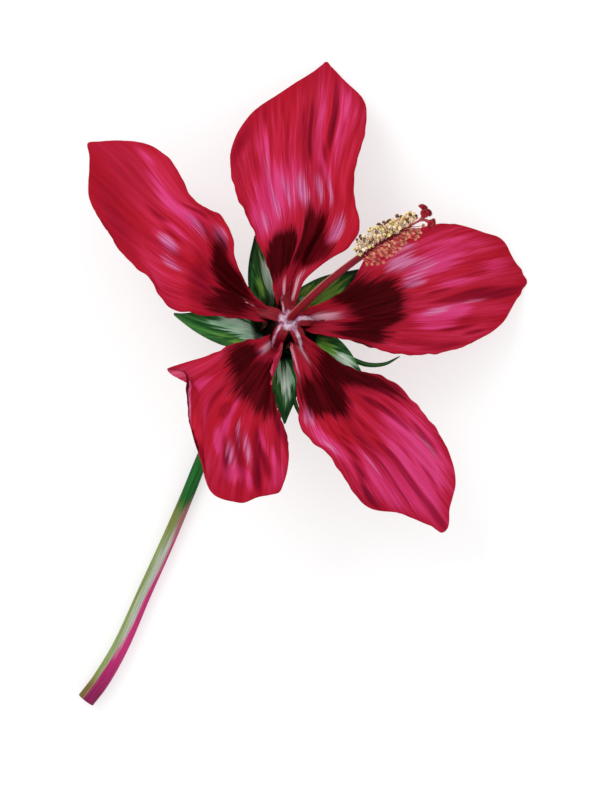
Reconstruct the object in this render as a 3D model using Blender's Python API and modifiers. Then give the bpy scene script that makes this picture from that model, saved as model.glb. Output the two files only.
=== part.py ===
"""A scarlet rose mallow flower (a hibiscus) on its cut stem, lying face up on a flat surface.

The flower leans: its axis points up and away from the stem, so it rests on the stem and on the
tips of the two petals opposite. Heights are above the surface. Plans are seen from above, with
the middle of the flower at their origin. Tables are in millimetres, everything else in metres.
"""

import math

import bmesh
import bpy
import numpy as np
from mathutils import Matrix, Vector

MM = 0.001
GAP = 0.3 * MM                      # between pieces that touch
FLOWER_AT = (-5.6 * MM, 17.3 * MM, 0)   # puts the whole object's box over the origin

# The lean of the flower.
THROAT = Vector((0.8, 0.8, 29)) * MM    # where the column leaves the ring of petals
AXIS_TILT = math.radians(24)        # from the vertical
AXIS_HEADING = math.radians(48)     # in plan, from +X
THROAT_HEIGHT = 12 * MM             # above the floor of the calyx, along the axis

TILT = Matrix.Rotation(AXIS_TILT, 4, (-math.sin(AXIS_HEADING), math.cos(AXIS_HEADING), 0))
AXIS = TILT.to_3x3() @ Vector((0, 0, 1))
RECEPTACLE = Matrix.Translation(THROAT - AXIS * THROAT_HEIGHT) @ TILT   # origin on the calyx floor

# Pistil: the ovary in the cup of the calyx, and the style through the column.
OVARY_RADIUS = 3.2 * MM
OVARY_HEIGHT = 8.5 * MM
OVARY_SHAPE = [(0, 0.72), (0.12, 0.88), (0.35, 1), (0.6, 0.92), (0.82, 0.62), (0.95, 0.28)]  # height, width
STYLE_RADIUS = 0.35 * MM
STYLE_FROM = 9.8 * MM               # height where the style is round and even
STYLE_PAST_COLUMN = 3.6 * MM
BRANCHES = 5
BRANCH_LEAN = math.radians(38)      # from the style
BRANCH_SHAPE = [(0.28, 0), (0.32, 3.4), (0.98, 3.57), (1.15, 4), (0.8, 4.6), (0.23, 4.9)]    # radius, height

# Column of stamens: a bell over the ovary that narrows to a long arching tube.
BELL_WALL = 0.8 * MM
BORE_GAP = 0.45 * MM                # round the pistil
BELL_SHAPE = [(0.3, 1), (3, 1.02), (6.5, 1), (10.5, 0.94), (12.2, 0.82), (12.9, 0.4), (13.8, 0)]  # height, flare
COLUMN_LENGTH = 54 * MM             # from the throat to its tip
COLUMN_END_TILT = math.radians(74)  # from the vertical, at the tip
COLUMN_END_HEADING = math.radians(28)
COLUMN_RADIUS = (1.7 * MM, 1.2 * MM)    # at the throat and at the tip
STAMENS = 46
STAMENS_FROM = 0.56                 # share of the column's length where they start
STAMENS_TO = 0.97
STAMEN_LEAN = math.radians(62)      # from the column
STAMEN_ROOT = 0.8 * MM              # height over the column's middle where a filament starts
FILAMENT_LENGTH = 6.2 * MM
FILAMENT_RADIUS = (0.28 * MM, 0.22 * MM)
ANTHER_SHAPE = [(0.72, 0.5), (0.43, 1.3)]   # radius, height over the filament
GOLDEN_ANGLE = math.pi * (3 - math.sqrt(5))

# Calyx: a cup that splits into five pointed lobes.
CALYX_WALL = 0.8 * MM
CALYX_UNDERSIDE = -0.9 * MM         # height of the underside of its floor
CALYX_PROFILE = [(5.4, -0.5), (7.4, 1.8), (9.2, 5.4), (11.4, 8.7), (15.5, 11.3), (21.5, 13),
                 (29, 13.8), (40, 13.4)]    # radius and height
CUP_LENGTH = 9.5 * MM               # along the profile, from its first point to the notches
LOBES = [                           # heading, length past the notch, sideways sweep of the tip
    (36.5, 20.5, 2),
    (114, 20, -9),
    (195.3, 27.3, -20),
    (264, 24.5, 2),
    (326.7, 20.5, -8),
]
LOBE_BELLY = 1.4                    # crowds the grid's lines into the middle of each lobe
LOBE_POINT = 0.74                   # below 1 the lobes are ovate with a drawn-out point
LOBE_KEEL = 1.3 * MM                # how far the middle of a lobe sinks below its edges
LOBE_COLUMNS = 8
CUP_RINGS = 3
LOBE_RINGS = 6

# Epicalyx: a whorl of narrow bracts on a disc between stem and calyx.
DISC_RADIUS = 4.6 * MM
DISC_THICKNESS = 1.6 * MM
BRACTS = 10
BRACT_RADIUS = 0.75 * MM
BRACT_TIP = 0.35                    # its width there, as a share
BRACT_SHAPE = [(8.4, -0.2), (14.9, 2.4), (20.2, 5.8), (24, 10)]    # reach and rise
BRACT_SWEEP = 6
FIRST_BRACT = -30                   # heading, in degrees
CURLED_BRACTS = {                   # two that curl out: x, y and height in plan
    0: [(6.5, -6.4, 14.8), (19, -9.8, 16.5), (24.9, -11.8, 18.5), (30.1, -11.6, 20.5), (34.5, -9.4, 22.5)],
    9: [(-0.5, -12, 18.6), (1.9, -20, 21.5), (3.6, -25, 25.5), (4.2, -27, 28)],
}

# Stem: it lies on the surface and climbs to the flower at its top end.
STEM_ON_SURFACE = [(-61.5, -115, 2.75), (-56.8, -108.8, 2.75), (-50.7, -98.2, 2.5), (-43.5, -82, 2.25),
                   (-36.4, -66.3, 2.15), (-30, -51.3, 2), (-25.2, -39.5, 1.95)]     # x, y, radius
STEM_CLIMB = [(-19.6, -28, 2.7, 1.9), (-14, -18.2, 5, 1.9), (-9.3, -10.8, 8.6, 1.9)]    # x, y, height, radius
STEM_NECK = [(-4.6, 1.95), (-2.4, 2.2), (0, 3.6)]   # height under its top, and radius

# Petals.
PETAL_THICKNESS = 0.7 * MM
CLAW_RING = 5.3 * MM                # radius on which the claws stand
CLAW_FOOT = 0.9 * MM                # height of the claws' feet over the calyx floor
CLAW_BEND = 8.5 * MM                # height where they turn outwards
CLAW_HALF_ANGLE = math.radians(21)
PETAL_COLUMNS = 14
PETAL_ROWS = 20
PLEATS = 3
PLEAT_DEPTH = 0.35
RUFFLES = 2.5                       # along each margin
RUFFLE_HEIGHT = 0.8
FOLD_WIDTH = 0.2
LUG_WIDTH = 0.14
LUG_LENGTH = 0.045
OUTLINE_STEPS = 10                  # between two points of the outline

# Each petal's outline runs from the claw's left side, as seen from the flower's middle, over the
# tip to its right side: x, y and height. shoulders are the outline points where the sides end.
# bow is how far the middle stands over the sides near the claw and near the tip. fold is a
# lengthwise valley: its place across the petal, its depth, and the share of the length it spans.
# lug is a small pointed ear of the right margin: its place along, and how far it sticks out.
PETALS = {
    "petal_1": dict(
        claw=88, shoulders=(4, 12), bow=(-2.2, 2.0), fold=(0.55, 2.2, 0.12, 0.62),
        outline=[
            (-2.8, 8, 30.5), (-4.7, 17, 32.5), (-10.3, 29.5, 33), (-14.7, 40, 31), (-16.2, 52, 26.5),
            (-10.6, 63.6, 19), (-0.1, 71.9, 12), (7.6, 77.6, 5.6), (11.4, 81, 1.3), (12.7, 82, 0.12),
            (13.9, 80.6, 1.3), (17.9, 75.6, 5.8), (24.2, 68.4, 11.5), (24.2, 58.6, 18), (20.9, 47, 25.5),
            (20.8, 38, 29.5), (22.3, 30, 33), (19.5, 23.5, 33.5), (12, 18.5, 33), (6, 13.5, 32), (3.4, 7.5, 30.3),
        ],
    ),
    "petal_2": dict(
        claw=9, shoulders=(6, 13), bow=(-2.2, 1.8), fold=(-0.5, 1.2, 0.2, 0.6),
        outline=[
            (7, 4.6, 30.5), (14, 7.6, 32), (20, 12.5, 32.5), (24, 19.5, 32.5), (33, 26, 30),
            (42, 29.6, 25.5), (51, 30.6, 20), (60.8, 28.2, 13.5), (66.4, 26.4, 9.5), (70.5, 19.9, 4.5),
            (74.8, 14, -0.38), (70.8, 7.9, 4), (65.7, 0.3, 8.5), (56.6, -5.1, 14), (47, -8.3, 18.5),
            (38, -9, 23), (27, -7, 27.5), (17, -4.3, 30.5), (8, -2.2, 30.5),
        ],
    ),
    "petal_3": dict(
        claw=306, shoulders=(5, 11), bow=(-2.0, 2.4), fold=(0.62, 1.6, 0.2, 0.6),
        outline=[
            (5.4, -3.3, 30.5), (12, -8.3, 34), (20, -12.8, 36.5), (31, -16.8, 37.5), (41, -26, 36.5),
            (48, -36.5, 33.5), (50.8, -46.5, 29.5), (49.4, -55, 24.5), (47.9, -62.4, 20), (43.5, -60.3, 22.5),
            (34, -56.4, 29), (24.5, -54.2, 34), (17.9, -46.2, 39.5), (12.4, -38.1, 42.5), (5.6, -31.5, 43.5),
            (4, -24, 42.5), (3.3, -15, 39.5), (1.9, -7.5, 34),
        ],
    ),
    "petal_4": dict(
        claw=235, shoulders=(4, 10), bow=(1.0, 4.5), fold=(-0.35, 1.0, 0.2, 0.6), lug=(0.65, (-8.6, -1.7, -3.4)),
        outline=[
            (-1.6, -7, 34), (-3.9, -13, 39.5), (-4, -19, 43), (-0.9, -28, 46.8), (1, -35, 48.5),
            (0.7, -42.5, 48), (-2.4, -49.3, 45.5), (-12.8, -52.5, 44), (-21, -50.2, 45), (-24.2, -41.5, 47),
            (-27.2, -31, 49), (-28.4, -22, 49.5), (-28.4, -15.5, 47.8), (-26, -11.6, 46.6), (-21.5, -9.1, 45),
            (-15, -6.1, 41.5), (-7, -4.1, 35),
        ],
    ),
    "petal_5": dict(
        claw=155, shoulders=(6, 12), bow=(-1.6, 2.6), fold=(0.5, 3.2, 0.1, 0.62),
        outline=[
            (-8, 1, 32), (-17, 2.1, 37.5), (-27, 3.2, 41), (-34.6, 5.1, 42), (-39.3, 12.6, 41.5),
            (-47.3, 20.2, 39), (-53, 28.3, 35), (-58.3, 37, 29.5), (-59, 46, 23), (-59, 53.6, 17.6),
            (-57.2, 55.4, 17.2), (-50, 55.6, 20), (-40.5, 54, 24.5), (-33.6, 48.6, 28.5), (-29.6, 40.8, 32),
            (-26.2, 36, 34.5), (-19.2, 32.6, 37.5), (-15.6, 26.5, 38), (-14.8, 18.5, 36.5), (-10.3, 9.9, 34),
            (-5.8, 5.4, 31),
        ],
    ),
}


# ---------------------------------------------------------------- shared tools


def in_metres(points):
    return [Vector(point) * MM for point in points]


def smooth_line(points, steps=10):
    """Points on a smooth line through the given ones, the given ones among them."""
    points = np.array([tuple(point) for point in points])
    chords = np.diff(points, axis=0)
    headings = np.vstack([chords[:1], points[2:] - points[:-2], chords[-1:]])
    headings /= np.linalg.norm(headings, axis=1)[:, None]
    line = [points[0]]
    for start, end, leaving, arriving in zip(points, points[1:], headings, headings[1:]):
        reach = np.linalg.norm(end - start) / 3
        near, far = start + leaving * reach, end - arriving * reach
        for t in np.linspace(0, 1, steps + 1)[1:]:
            s = 1 - t
            line.append(start * s**3 + near * 3 * s * s * t + far * 3 * s * t * t + end * t**3)
    return [Vector(point) for point in line]


def walk(line):
    """A function that gives the point at a share, 0 to 1, of the line's length."""
    points = np.array([tuple(point) for point in line])
    run = np.concatenate([[0], np.cumsum(np.linalg.norm(np.diff(points, axis=0), axis=1))])
    return lambda share: Vector([np.interp(share * run[-1], run, places) for places in points.T])


def ease(share):
    """0 up to 0, 1 from 1 on, and a smooth step between."""
    share = min(max(share, 0.0), 1.0)
    return share * share * (3 - 2 * share)


def material(name, colour, roughness):
    made = bpy.data.materials.new(name)
    made.use_nodes = True
    shader = made.node_tree.nodes["Principled BSDF"]
    shader.inputs["Base Color"].default_value = (*colour, 1)
    shader.inputs["Roughness"].default_value = roughness
    return made


def link(obj, parent, finish=None):
    FLOWER.objects.link(obj)
    obj.parent = parent
    if finish:
        obj.data.materials.append(finish)
    return obj


def new_mesh(name, bm):
    mesh = bpy.data.meshes.new(name)
    bm.to_mesh(mesh)
    bm.free()
    mesh.shade_smooth()
    return bpy.data.objects.new(name, mesh)


def thicken(obj, thickness):
    """Gives an open surface its thickness, split into triangles alike on both faces."""
    obj.modifiers.new("Triangulate", "TRIANGULATE")
    solidify = obj.modifiers.new("Solidify", "SOLIDIFY")
    solidify.thickness = thickness
    solidify.offset = 0
    return obj


def tapered_tube(name, points, radii, bevel_resolution):
    """A round tube through the points, with its own radius at each."""
    curve = bpy.data.curves.new(name, "CURVE")
    curve.dimensions = "3D"
    curve.bevel_depth = 1
    curve.bevel_resolution = bevel_resolution
    curve.use_fill_caps = True
    spline = curve.splines.new("POLY")
    spline.points.add(len(points) - 1)
    for knot, point, radius in zip(spline.points, points, radii):
        knot.co = (*point, 1)
        knot.radius = radius
    return bpy.data.objects.new(name, curve)


def to_mesh(curve_obj):
    """A mesh object in place of a curve object, with the curve's caps welded on."""
    bpy.context.scene.collection.objects.link(curve_obj)
    evaluated = curve_obj.evaluated_get(bpy.context.evaluated_depsgraph_get())
    mesh = bpy.data.meshes.new_from_object(evaluated)
    bm = bmesh.new()
    bm.from_mesh(mesh)
    bmesh.ops.remove_doubles(bm, verts=bm.verts, dist=0.001 * MM)
    bmesh.ops.recalc_face_normals(bm, faces=bm.faces)
    name = curve_obj.name
    bpy.data.objects.remove(curve_obj)
    return new_mesh(name, bm)


def pin(name, profile, bevel_resolution, place):
    """A round pin: profile is a list of (radius, height) from its root to its tip."""
    points = [place @ Vector((0, 0, height)) for radius, height in profile]
    return to_mesh(tapered_tube(name, points, [radius for radius, height in profile], bevel_resolution))


def join(body, others, operation="UNION"):
    """The body made one with the other objects, or cut by them; the others are then removed."""
    group = bpy.data.collections.new(body.name + "_pieces")
    bpy.context.scene.collection.children.link(group)
    for other in others:
        group.objects.link(other)
    bpy.context.scene.collection.objects.link(body)
    boolean = body.modifiers.new("Join", "BOOLEAN")
    boolean.operation = operation
    boolean.solver = "EXACT"
    boolean.operand_type = "COLLECTION"
    boolean.collection = group
    mesh = bpy.data.meshes.new_from_object(body.evaluated_get(bpy.context.evaluated_depsgraph_get()))
    body.modifiers.clear()
    body.data = mesh
    bpy.context.scene.collection.objects.unlink(body)
    for other in others:
        bpy.data.objects.remove(other)
    bpy.data.collections.remove(group)
    return body


def pointing(place, direction):
    """A matrix at that place whose +Z points that way."""
    return Matrix.Translation(place) @ direction.to_track_quat("Z", "Y").to_matrix().to_4x4()


# ---------------------------------------------------------------- the pieces


def on_receptacle(radius, heading, height):
    """A point round the flower's axis, height above the calyx floor."""
    return RECEPTACLE @ Vector((radius * math.cos(heading), radius * math.sin(heading), height))


def stem(parent):
    """The cut stem, round and a little thicker at its cut end, widening to carry the calyx."""
    lying = [(x, y, radius, radius) for x, y, radius in STEM_ON_SURFACE]
    top = CALYX_UNDERSIDE - DISC_THICKNESS - 2 * GAP
    neck = [(*(on_receptacle(0, 0, top + height * MM) / MM), radius) for height, radius in STEM_NECK]
    line = smooth_line(lying + STEM_CLIMB + neck, steps=4)
    obj = tapered_tube("stem", [Vector(knot[:3]) * MM for knot in line], [knot[3] * MM for knot in line], 3)
    return link(obj, parent, material("stem_green", (0.33, 0.45, 0.20), 0.5))


def epicalyx(parent):
    """Narrow bracts that leave a small disc under the calyx and curve up round it."""
    disc_place = RECEPTACLE @ Matrix.Translation((0, 0, CALYX_UNDERSIDE - GAP - DISC_THICKNESS))
    disc = pin("epicalyx", [(DISC_RADIUS, 0), (DISC_RADIUS, DISC_THICKNESS)], 8, disc_place)
    level = CALYX_UNDERSIDE - GAP - BRACT_RADIUS
    bracts = []
    for number in range(BRACTS):
        knots = in_metres(CURLED_BRACTS.get(number, []))
        if not knots:
            for reach, rise in BRACT_SHAPE:
                sweep = BRACT_SWEEP * (reach / BRACT_SHAPE[-1][0]) ** 2
                heading = math.radians(FIRST_BRACT + number * 360 / BRACTS + sweep)
                knots.append(on_receptacle(reach * MM, heading, level + rise * MM))
        line = smooth_line([on_receptacle(0, 0, level), *knots], steps=3)
        taper = [1 - (1 - BRACT_TIP) * (step / (len(line) - 1)) ** 2 for step in range(len(line))]
        bracts.append(to_mesh(tapered_tube("bract", line, [BRACT_RADIUS * width for width in taper], 1)))
    return link(join(disc, bracts), parent, material("bract_green", (0.12, 0.27, 0.10), 0.5))


def lobe_at(turn):
    """At a turn round the calyx, counted in lobes: heading, length, sweep, and the share out from the
    middle of the lobe to the notch beside it."""
    number = round(turn) % len(LOBES)
    heading, length, sweep = LOBES[number]
    side = turn - round(turn)
    neighbour = LOBES[(number + (1 if side > 0 else -1)) % len(LOBES)][0]
    to_notch = ((neighbour - heading + 180) % 360 - 180) / 2
    out = min(abs(side) * 2, 1) ** LOBE_BELLY
    return heading + to_notch * out, length * MM * (1 - out**LOBE_POINT), sweep, out


def calyx(parent):
    """The cup with its lobes: a round web, drawn out ring by ring and bent up along the profile."""
    bm = bmesh.new()
    bmesh.ops.create_circle(bm, cap_ends=True, cap_tris=True, segments=LOBE_COLUMNS * len(LOBES), radius=1)
    rim = [edge for edge in bm.edges if edge.is_boundary]
    for ring in range(1, CUP_RINGS + LOBE_RINGS + 1):
        grown = bmesh.ops.extrude_edge_only(bm, edges=rim)["geom"]
        outer = [item for item in grown if isinstance(item, bmesh.types.BMVert)]
        rim = [item for item in grown if isinstance(item, bmesh.types.BMEdge)]
        bmesh.ops.scale(bm, verts=outer, vec=Vector((1, 1, 1)) * (ring + 1) / ring)
    wall_line = smooth_line([(radius, 0, height) for radius, height in CALYX_PROFILE])
    wall_length = sum((after - before).length for before, after in zip(wall_line, wall_line[1:]))
    wall = walk(wall_line)
    for vert in bm.verts:
        ring = round(vert.co.length) - 1
        if ring < 0:
            vert.co = (0, 0, CALYX_PROFILE[0][1] * MM)
            continue
        turn = math.atan2(vert.co.y, vert.co.x) / math.tau * len(LOBES) % len(LOBES)
        heading, lobe_length, sweep, out = lobe_at(turn)
        up_lobe = max(ring - CUP_RINGS, 0) / LOBE_RINGS
        reach = CUP_LENGTH * min(ring / CUP_RINGS, 1) + lobe_length * up_lobe
        place = wall(reach / MM / wall_length) * MM
        keel = LOBE_KEEL * (1 - out) ** 2 * math.sin(math.pi * min(up_lobe, 0.9))
        turned = math.radians(heading + sweep * (reach / MM / wall_length) ** 2)
        vert.co = (place.x * math.cos(turned), place.x * math.sin(turned), place.z - keel)
    obj = thicken(new_mesh("calyx", bm), CALYX_WALL)
    obj.matrix_local = RECEPTACLE
    return link(obj, parent, material("sepal_green", (0.16, 0.34, 0.12), 0.45))


def petal(name, parent, finish, claw, shoulders, bow, fold, outline, lug=(0.5, (0, 0, 0))):
    """A blade stretched between its outline's sides and its outer edge, bowed, folded and pleated."""
    heading = math.radians(claw)
    left, right = heading + CLAW_HALF_ANGLE, heading - CLAW_HALF_ANGLE
    foot = [on_receptacle(CLAW_RING, left, height) for height in (CLAW_FOOT, CLAW_BEND)]
    heel = [on_receptacle(CLAW_RING, right, height) for height in (CLAW_BEND, CLAW_FOOT)]
    line = smooth_line(foot + in_metres(outline) + heel, OUTLINE_STEPS)
    turn_in, turn_out = (OUTLINE_STEPS * (len(foot) + shoulder) for shoulder in shoulders)
    left_side, outer_edge = walk(line[: turn_in + 1]), walk(line[turn_in : turn_out + 1])
    right_side = walk(line[: turn_out - 1 : -1])
    fold_place, fold_depth, fold_from, fold_to = fold

    def claw_edge(share):
        turned = left + (right - left) * share
        return on_receptacle(CLAW_RING, turned, CLAW_FOOT)

    def spot(across, along):
        """The point at a share across, left to right, and a share along, claw to outer edge."""
        sides = left_side(along) * (1 - across) + right_side(along) * across
        ends = claw_edge(across) * (1 - along) + outer_edge(across) * along
        near = left_side(0) * (1 - across) + right_side(0) * across
        far = left_side(1) * (1 - across) + right_side(1) * across
        flat = sides + ends - near * (1 - along) - far * along
        from_middle = 2 * across - 1
        inner = 1 - from_middle**2
        blade = ease((along - 0.12) / 0.2)
        arch = (bow[0] * (1 - along) + bow[1] * along) * inner * math.sin(math.pi * min(along, 0.94))
        within = ease((along - fold_from) / 0.15) * ease((fold_to - along) / 0.15)
        valley = fold_depth * within * math.exp(-(((from_middle - fold_place) / FOLD_WIDTH) ** 2))
        pleat = PLEAT_DEPTH * along * inner * math.cos(math.pi * PLEATS * from_middle)
        wave = math.sin(math.tau * RUFFLES * along + 2 * from_middle) * math.sin(math.pi * along)
        ruffle = RUFFLE_HEIGHT * from_middle**4 * wave
        ear = math.exp(-(((1 - across) / LUG_WIDTH) ** 2) - ((along - lug[0]) / LUG_LENGTH) ** 2)
        flat += Vector(lug[1]) * ear * MM
        return flat + AXIS * (arch - valley + pleat + ruffle) * blade * MM

    bm = bmesh.new()
    bmesh.ops.create_grid(bm, x_segments=PETAL_COLUMNS, y_segments=PETAL_ROWS, size=0.5)
    for vert in bm.verts:
        vert.co = spot(0.5 - vert.co.x, vert.co.y + 0.5)
    bmesh.ops.reverse_faces(bm, faces=bm.faces)
    return link(thicken(new_mesh(name, bm), PETAL_THICKNESS), parent, finish)


def column_line():
    """The middle of column and style: up the flower's axis, then arching over past the throat."""
    steps = 24
    line = [on_receptacle(0, 0, THROAT_HEIGHT)]
    for step in range(steps):
        share = (step + 0.5) / steps
        lean = AXIS_TILT + (COLUMN_END_TILT - AXIS_TILT) * share**0.5
        heading = AXIS_HEADING + (COLUMN_END_HEADING - AXIS_HEADING) * share
        level = math.sin(lean)
        way = Vector((level * math.cos(heading), level * math.sin(heading), math.cos(lean)))
        line.append(line[-1] + way * COLUMN_LENGTH / steps)
    return line


def pistil_core(name, slack, shape):
    """Ovary and style, grown on all sides by slack."""
    arch = column_line()
    points = [on_receptacle(0, 0, GAP + OVARY_HEIGHT * height) for height, width in shape]
    radii = [OVARY_RADIUS * width + slack for height, width in shape]
    way = (arch[-1] - arch[-2]).normalized()
    points += [on_receptacle(0, 0, STYLE_FROM), *arch, arch[-1] + way * STYLE_PAST_COLUMN]
    radii += [STYLE_RADIUS + slack] * (len(arch) + 2)
    return to_mesh(tapered_tube(name, points, radii, 3))


def leaning(way, lean, turned):
    """The direction at an angle from a way, turned round it."""
    side = math.sin(lean)
    out = Vector((side * math.cos(turned), side * math.sin(turned), math.cos(lean)))
    return way.to_track_quat("Z", "Y") @ out


def pistil(parent):
    """Ovary, style and short branches, each with a round stigma."""
    core = pistil_core("pistil", 0, OVARY_SHAPE)
    arch = column_line()
    way = (arch[-1] - arch[-2]).normalized()
    fork = arch[-1] + way * (STYLE_PAST_COLUMN - STYLE_RADIUS)
    shape = [(radius * MM, height * MM) for radius, height in BRANCH_SHAPE]
    branches = []
    for number in range(BRANCHES):
        out = leaning(way, BRANCH_LEAN, math.tau * number / BRANCHES)
        branches.append(pin("branch", shape, 2, pointing(fork, out)))
    return link(join(core, branches), parent, material("stigma_red", (0.55, 0.03, 0.06), 0.4))


def stamen(number, arch):
    """One filament with its anther, leaning out of the column."""
    share = STAMENS_FROM + (STAMENS_TO - STAMENS_FROM) * (number + 0.5) / STAMENS
    way = (arch(share + 0.02) - arch(share - 0.02)).normalized()
    out = leaning(way, STAMEN_LEAN, number * GOLDEN_ANGLE)
    length = FILAMENT_LENGTH * (0.9 + 0.05 * (number * 7 % 5))
    anther = [(radius * MM, length + height * MM) for radius, height in ANTHER_SHAPE]
    shape = [(FILAMENT_RADIUS[0], STAMEN_ROOT), (FILAMENT_RADIUS[1], length), *anther]
    return pin("stamen", shape, 1, pointing(arch(share), out))


def stamen_column(parent):
    """The bell and its long tube, set with stamens all round, and bored for the pistil."""
    arch = column_line()
    flare = OVARY_RADIUS + BORE_GAP + BELL_WALL - COLUMN_RADIUS[0]
    points = [on_receptacle(0, 0, height * MM) for height, width in BELL_SHAPE]
    radii = [COLUMN_RADIUS[0] + flare * width for height, width in BELL_SHAPE]
    radii += list(np.linspace(*COLUMN_RADIUS, len(arch))[1:])
    column = to_mesh(tapered_tube("stamen_column", points + arch[1:], radii, 3))
    joined = join(column, [stamen(number, walk(arch)) for number in range(STAMENS)])
    bore = pistil_core("bore", BORE_GAP, [(-1, 1), *OVARY_SHAPE[1:]])
    return link(join(joined, [bore], "DIFFERENCE"), parent, material("stamen_pink", (0.72, 0.36, 0.30), 0.5))


for leftover in list(bpy.data.objects):
    bpy.data.objects.remove(leftover)
FLOWER = bpy.data.collections.new("hibiscus_flower")
bpy.context.scene.collection.children.link(FLOWER)
flower = link(bpy.data.objects.new("flower", None), None)
flower.location = FLOWER_AT

stem(flower)
epicalyx(flower)
calyx(flower)
pistil(flower)
stamen_column(flower)
petal_red = material("petal_crimson", (0.62, 0.02, 0.09), 0.45)
for petal_name, shape in PETALS.items():
    petal(petal_name, flower, petal_red, **shape)
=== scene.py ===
"""The looks of a cut scarlet rose mallow flower: a finer shape and a finish for each of its pieces.

Plans and heights in the tables are in millimetres, from the point of the table top under the
middle of the flower. Everything else is in metres, and colours are read off a card, 0 to 255.
"""

import random
from math import atan2, copysign, cos, exp, pi, radians, remainder, sin, sqrt, tau

import bmesh
import bpy
import numpy as np
from mathutils import Matrix, Vector


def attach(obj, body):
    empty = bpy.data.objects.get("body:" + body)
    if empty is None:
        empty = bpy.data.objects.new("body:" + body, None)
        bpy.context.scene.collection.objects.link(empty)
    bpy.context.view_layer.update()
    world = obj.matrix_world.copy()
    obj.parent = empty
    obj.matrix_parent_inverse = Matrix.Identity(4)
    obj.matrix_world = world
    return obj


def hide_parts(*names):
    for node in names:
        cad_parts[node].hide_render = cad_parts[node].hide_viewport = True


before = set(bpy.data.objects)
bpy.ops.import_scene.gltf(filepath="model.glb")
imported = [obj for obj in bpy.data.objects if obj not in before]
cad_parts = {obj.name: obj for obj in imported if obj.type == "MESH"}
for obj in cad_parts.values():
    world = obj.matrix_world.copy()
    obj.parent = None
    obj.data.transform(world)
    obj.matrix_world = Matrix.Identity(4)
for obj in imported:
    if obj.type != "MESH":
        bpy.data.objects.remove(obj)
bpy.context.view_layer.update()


# ---- Camera, table and light -------------------------------------------------------------
# The flower is seen from straight above, 0.8 m away. It lies on a plain white table top that glows
# a little, under a pale sky, with one large soft lamp at the upper left and a weak one across.

MM = 0.001
FLOWER_AT = Vector((-5.6, 17.3, 0)) * MM  # the middle of the flower, on the table
CAMERA_FROM_FLOWER = Vector((4.5, -22.5, 825)) * MM
TABLE_RADIUS = 3
TABLE_GLOW = 0.5
SKY_STRENGTH = 0.98
LAMPS = {  # place, width and power
    "lamp_upper_left": ((-0.75, 0.85, 1.1), 0.8, 7),
    "lamp_lower_right": ((0.9, -0.7, 0.8), 0.9, 1.5),
}


def put_out(name, made):
    """A new object in the scene."""
    thing = bpy.data.objects.new(name, made)
    bpy.context.scene.collection.objects.link(thing)
    return thing


def new_finish(name, roughness, gloss=0.5):
    """A material with its shader's own constants set, and its node tree."""
    finish = bpy.data.materials.new(name)
    finish.use_nodes = True
    shader = finish.node_tree.nodes["Principled BSDF"]
    shader.inputs["Roughness"].default_value = roughness
    shader.inputs["Specular IOR Level"].default_value = gloss
    return finish, finish.node_tree


camera_data = bpy.data.cameras.new("camera")
camera_data.lens = 120
camera_data.sensor_fit = "VERTICAL"
camera_data.sensor_height = 36
camera = put_out("camera", camera_data)
camera.location = FLOWER_AT + CAMERA_FROM_FLOWER
bpy.context.scene.camera = camera
bpy.context.scene.view_settings.view_transform = "Standard"

table_shape = bmesh.new()
bmesh.ops.create_circle(table_shape, cap_ends=True, segments=64, radius=TABLE_RADIUS)
table_mesh = bpy.data.meshes.new("table_top")
table_shape.to_mesh(table_mesh)
table_shape.free()
table_white, tree = new_finish("table_white", 0.8, gloss=0.1)
table_shader = tree.nodes["Principled BSDF"]
table_shader.inputs["Base Color"].default_value = (0.5, 0.5, 0.5, 1)
table_shader.inputs["Emission Color"].default_value = (1, 1, 1, 1)
table_shader.inputs["Emission Strength"].default_value = TABLE_GLOW
table_mesh.materials.append(table_white)
table_top = put_out("table_top", table_mesh)

sky = bpy.data.worlds.new("sky")
sky.use_nodes = True
sky.node_tree.nodes["Background"].inputs["Color"].default_value = (1, 1, 1, 1)
sky.node_tree.nodes["Background"].inputs["Strength"].default_value = SKY_STRENGTH
bpy.context.scene.world = sky

for lamp_name, (lamp_at, lamp_width, lamp_power) in LAMPS.items():
    lamp_data = bpy.data.lights.new(lamp_name, "AREA")
    lamp_data.shape = "DISK"
    lamp_data.size = lamp_width
    lamp_data.energy = lamp_power
    lamp = put_out(lamp_name, lamp_data)
    lamp.location = lamp_at
    lamp.rotation_mode = "QUATERNION"
    lamp.rotation_quaternion = (-lamp.location).to_track_quat("-Z", "Y")


# ---- Stem --------------------------------------------------------------------------------
# The cut flower stalk, a firm fleshy rod that lies on the table and climbs to the flower. It is
# dark green under the flower, blushes magenta along one side and at its foot, has a painted
# highlight along its top, and is cut square.

THROAT = Vector((0.8, 0.8, 29)) * MM  # where the column leaves the ring of petals
AXIS_TILT = radians(24)  # of the flower's axis, from the vertical
AXIS_HEADING = radians(48)  # in plan, from +X
THROAT_HEIGHT = 12 * MM  # above the floor of the calyx
CALYX_UNDERSIDE = -0.9 * MM
DISC_THICKNESS = 1.6 * MM  # of the disc that carries the bracts
GAP = 0.3 * MM  # between pieces that touch
STEM_ON_TABLE = [(-61.5, -115, 2.75), (-56.8, -108.8, 2.75), (-50.7, -98.2, 2.5), (-43.5, -82, 2.25),
                 (-36.4, -66.3, 2.15), (-30, -51.3, 2), (-25.2, -39.5, 1.95)]  # x, y, radius
STEM_CLIMB = [(-19.6, -28, 2.7, 1.9), (-14, -18.2, 5, 1.9), (-9.3, -10.8, 8.6, 1.9)]  # with height
STEM_NECK = [(-4.6, 1.95), (-2.4, 2.2), (0, 3.6)]  # height under its top, and radius
STEM_SIDES = 28
STEM_RIND = 0.35 * MM  # round the pith, on the cut face

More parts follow.
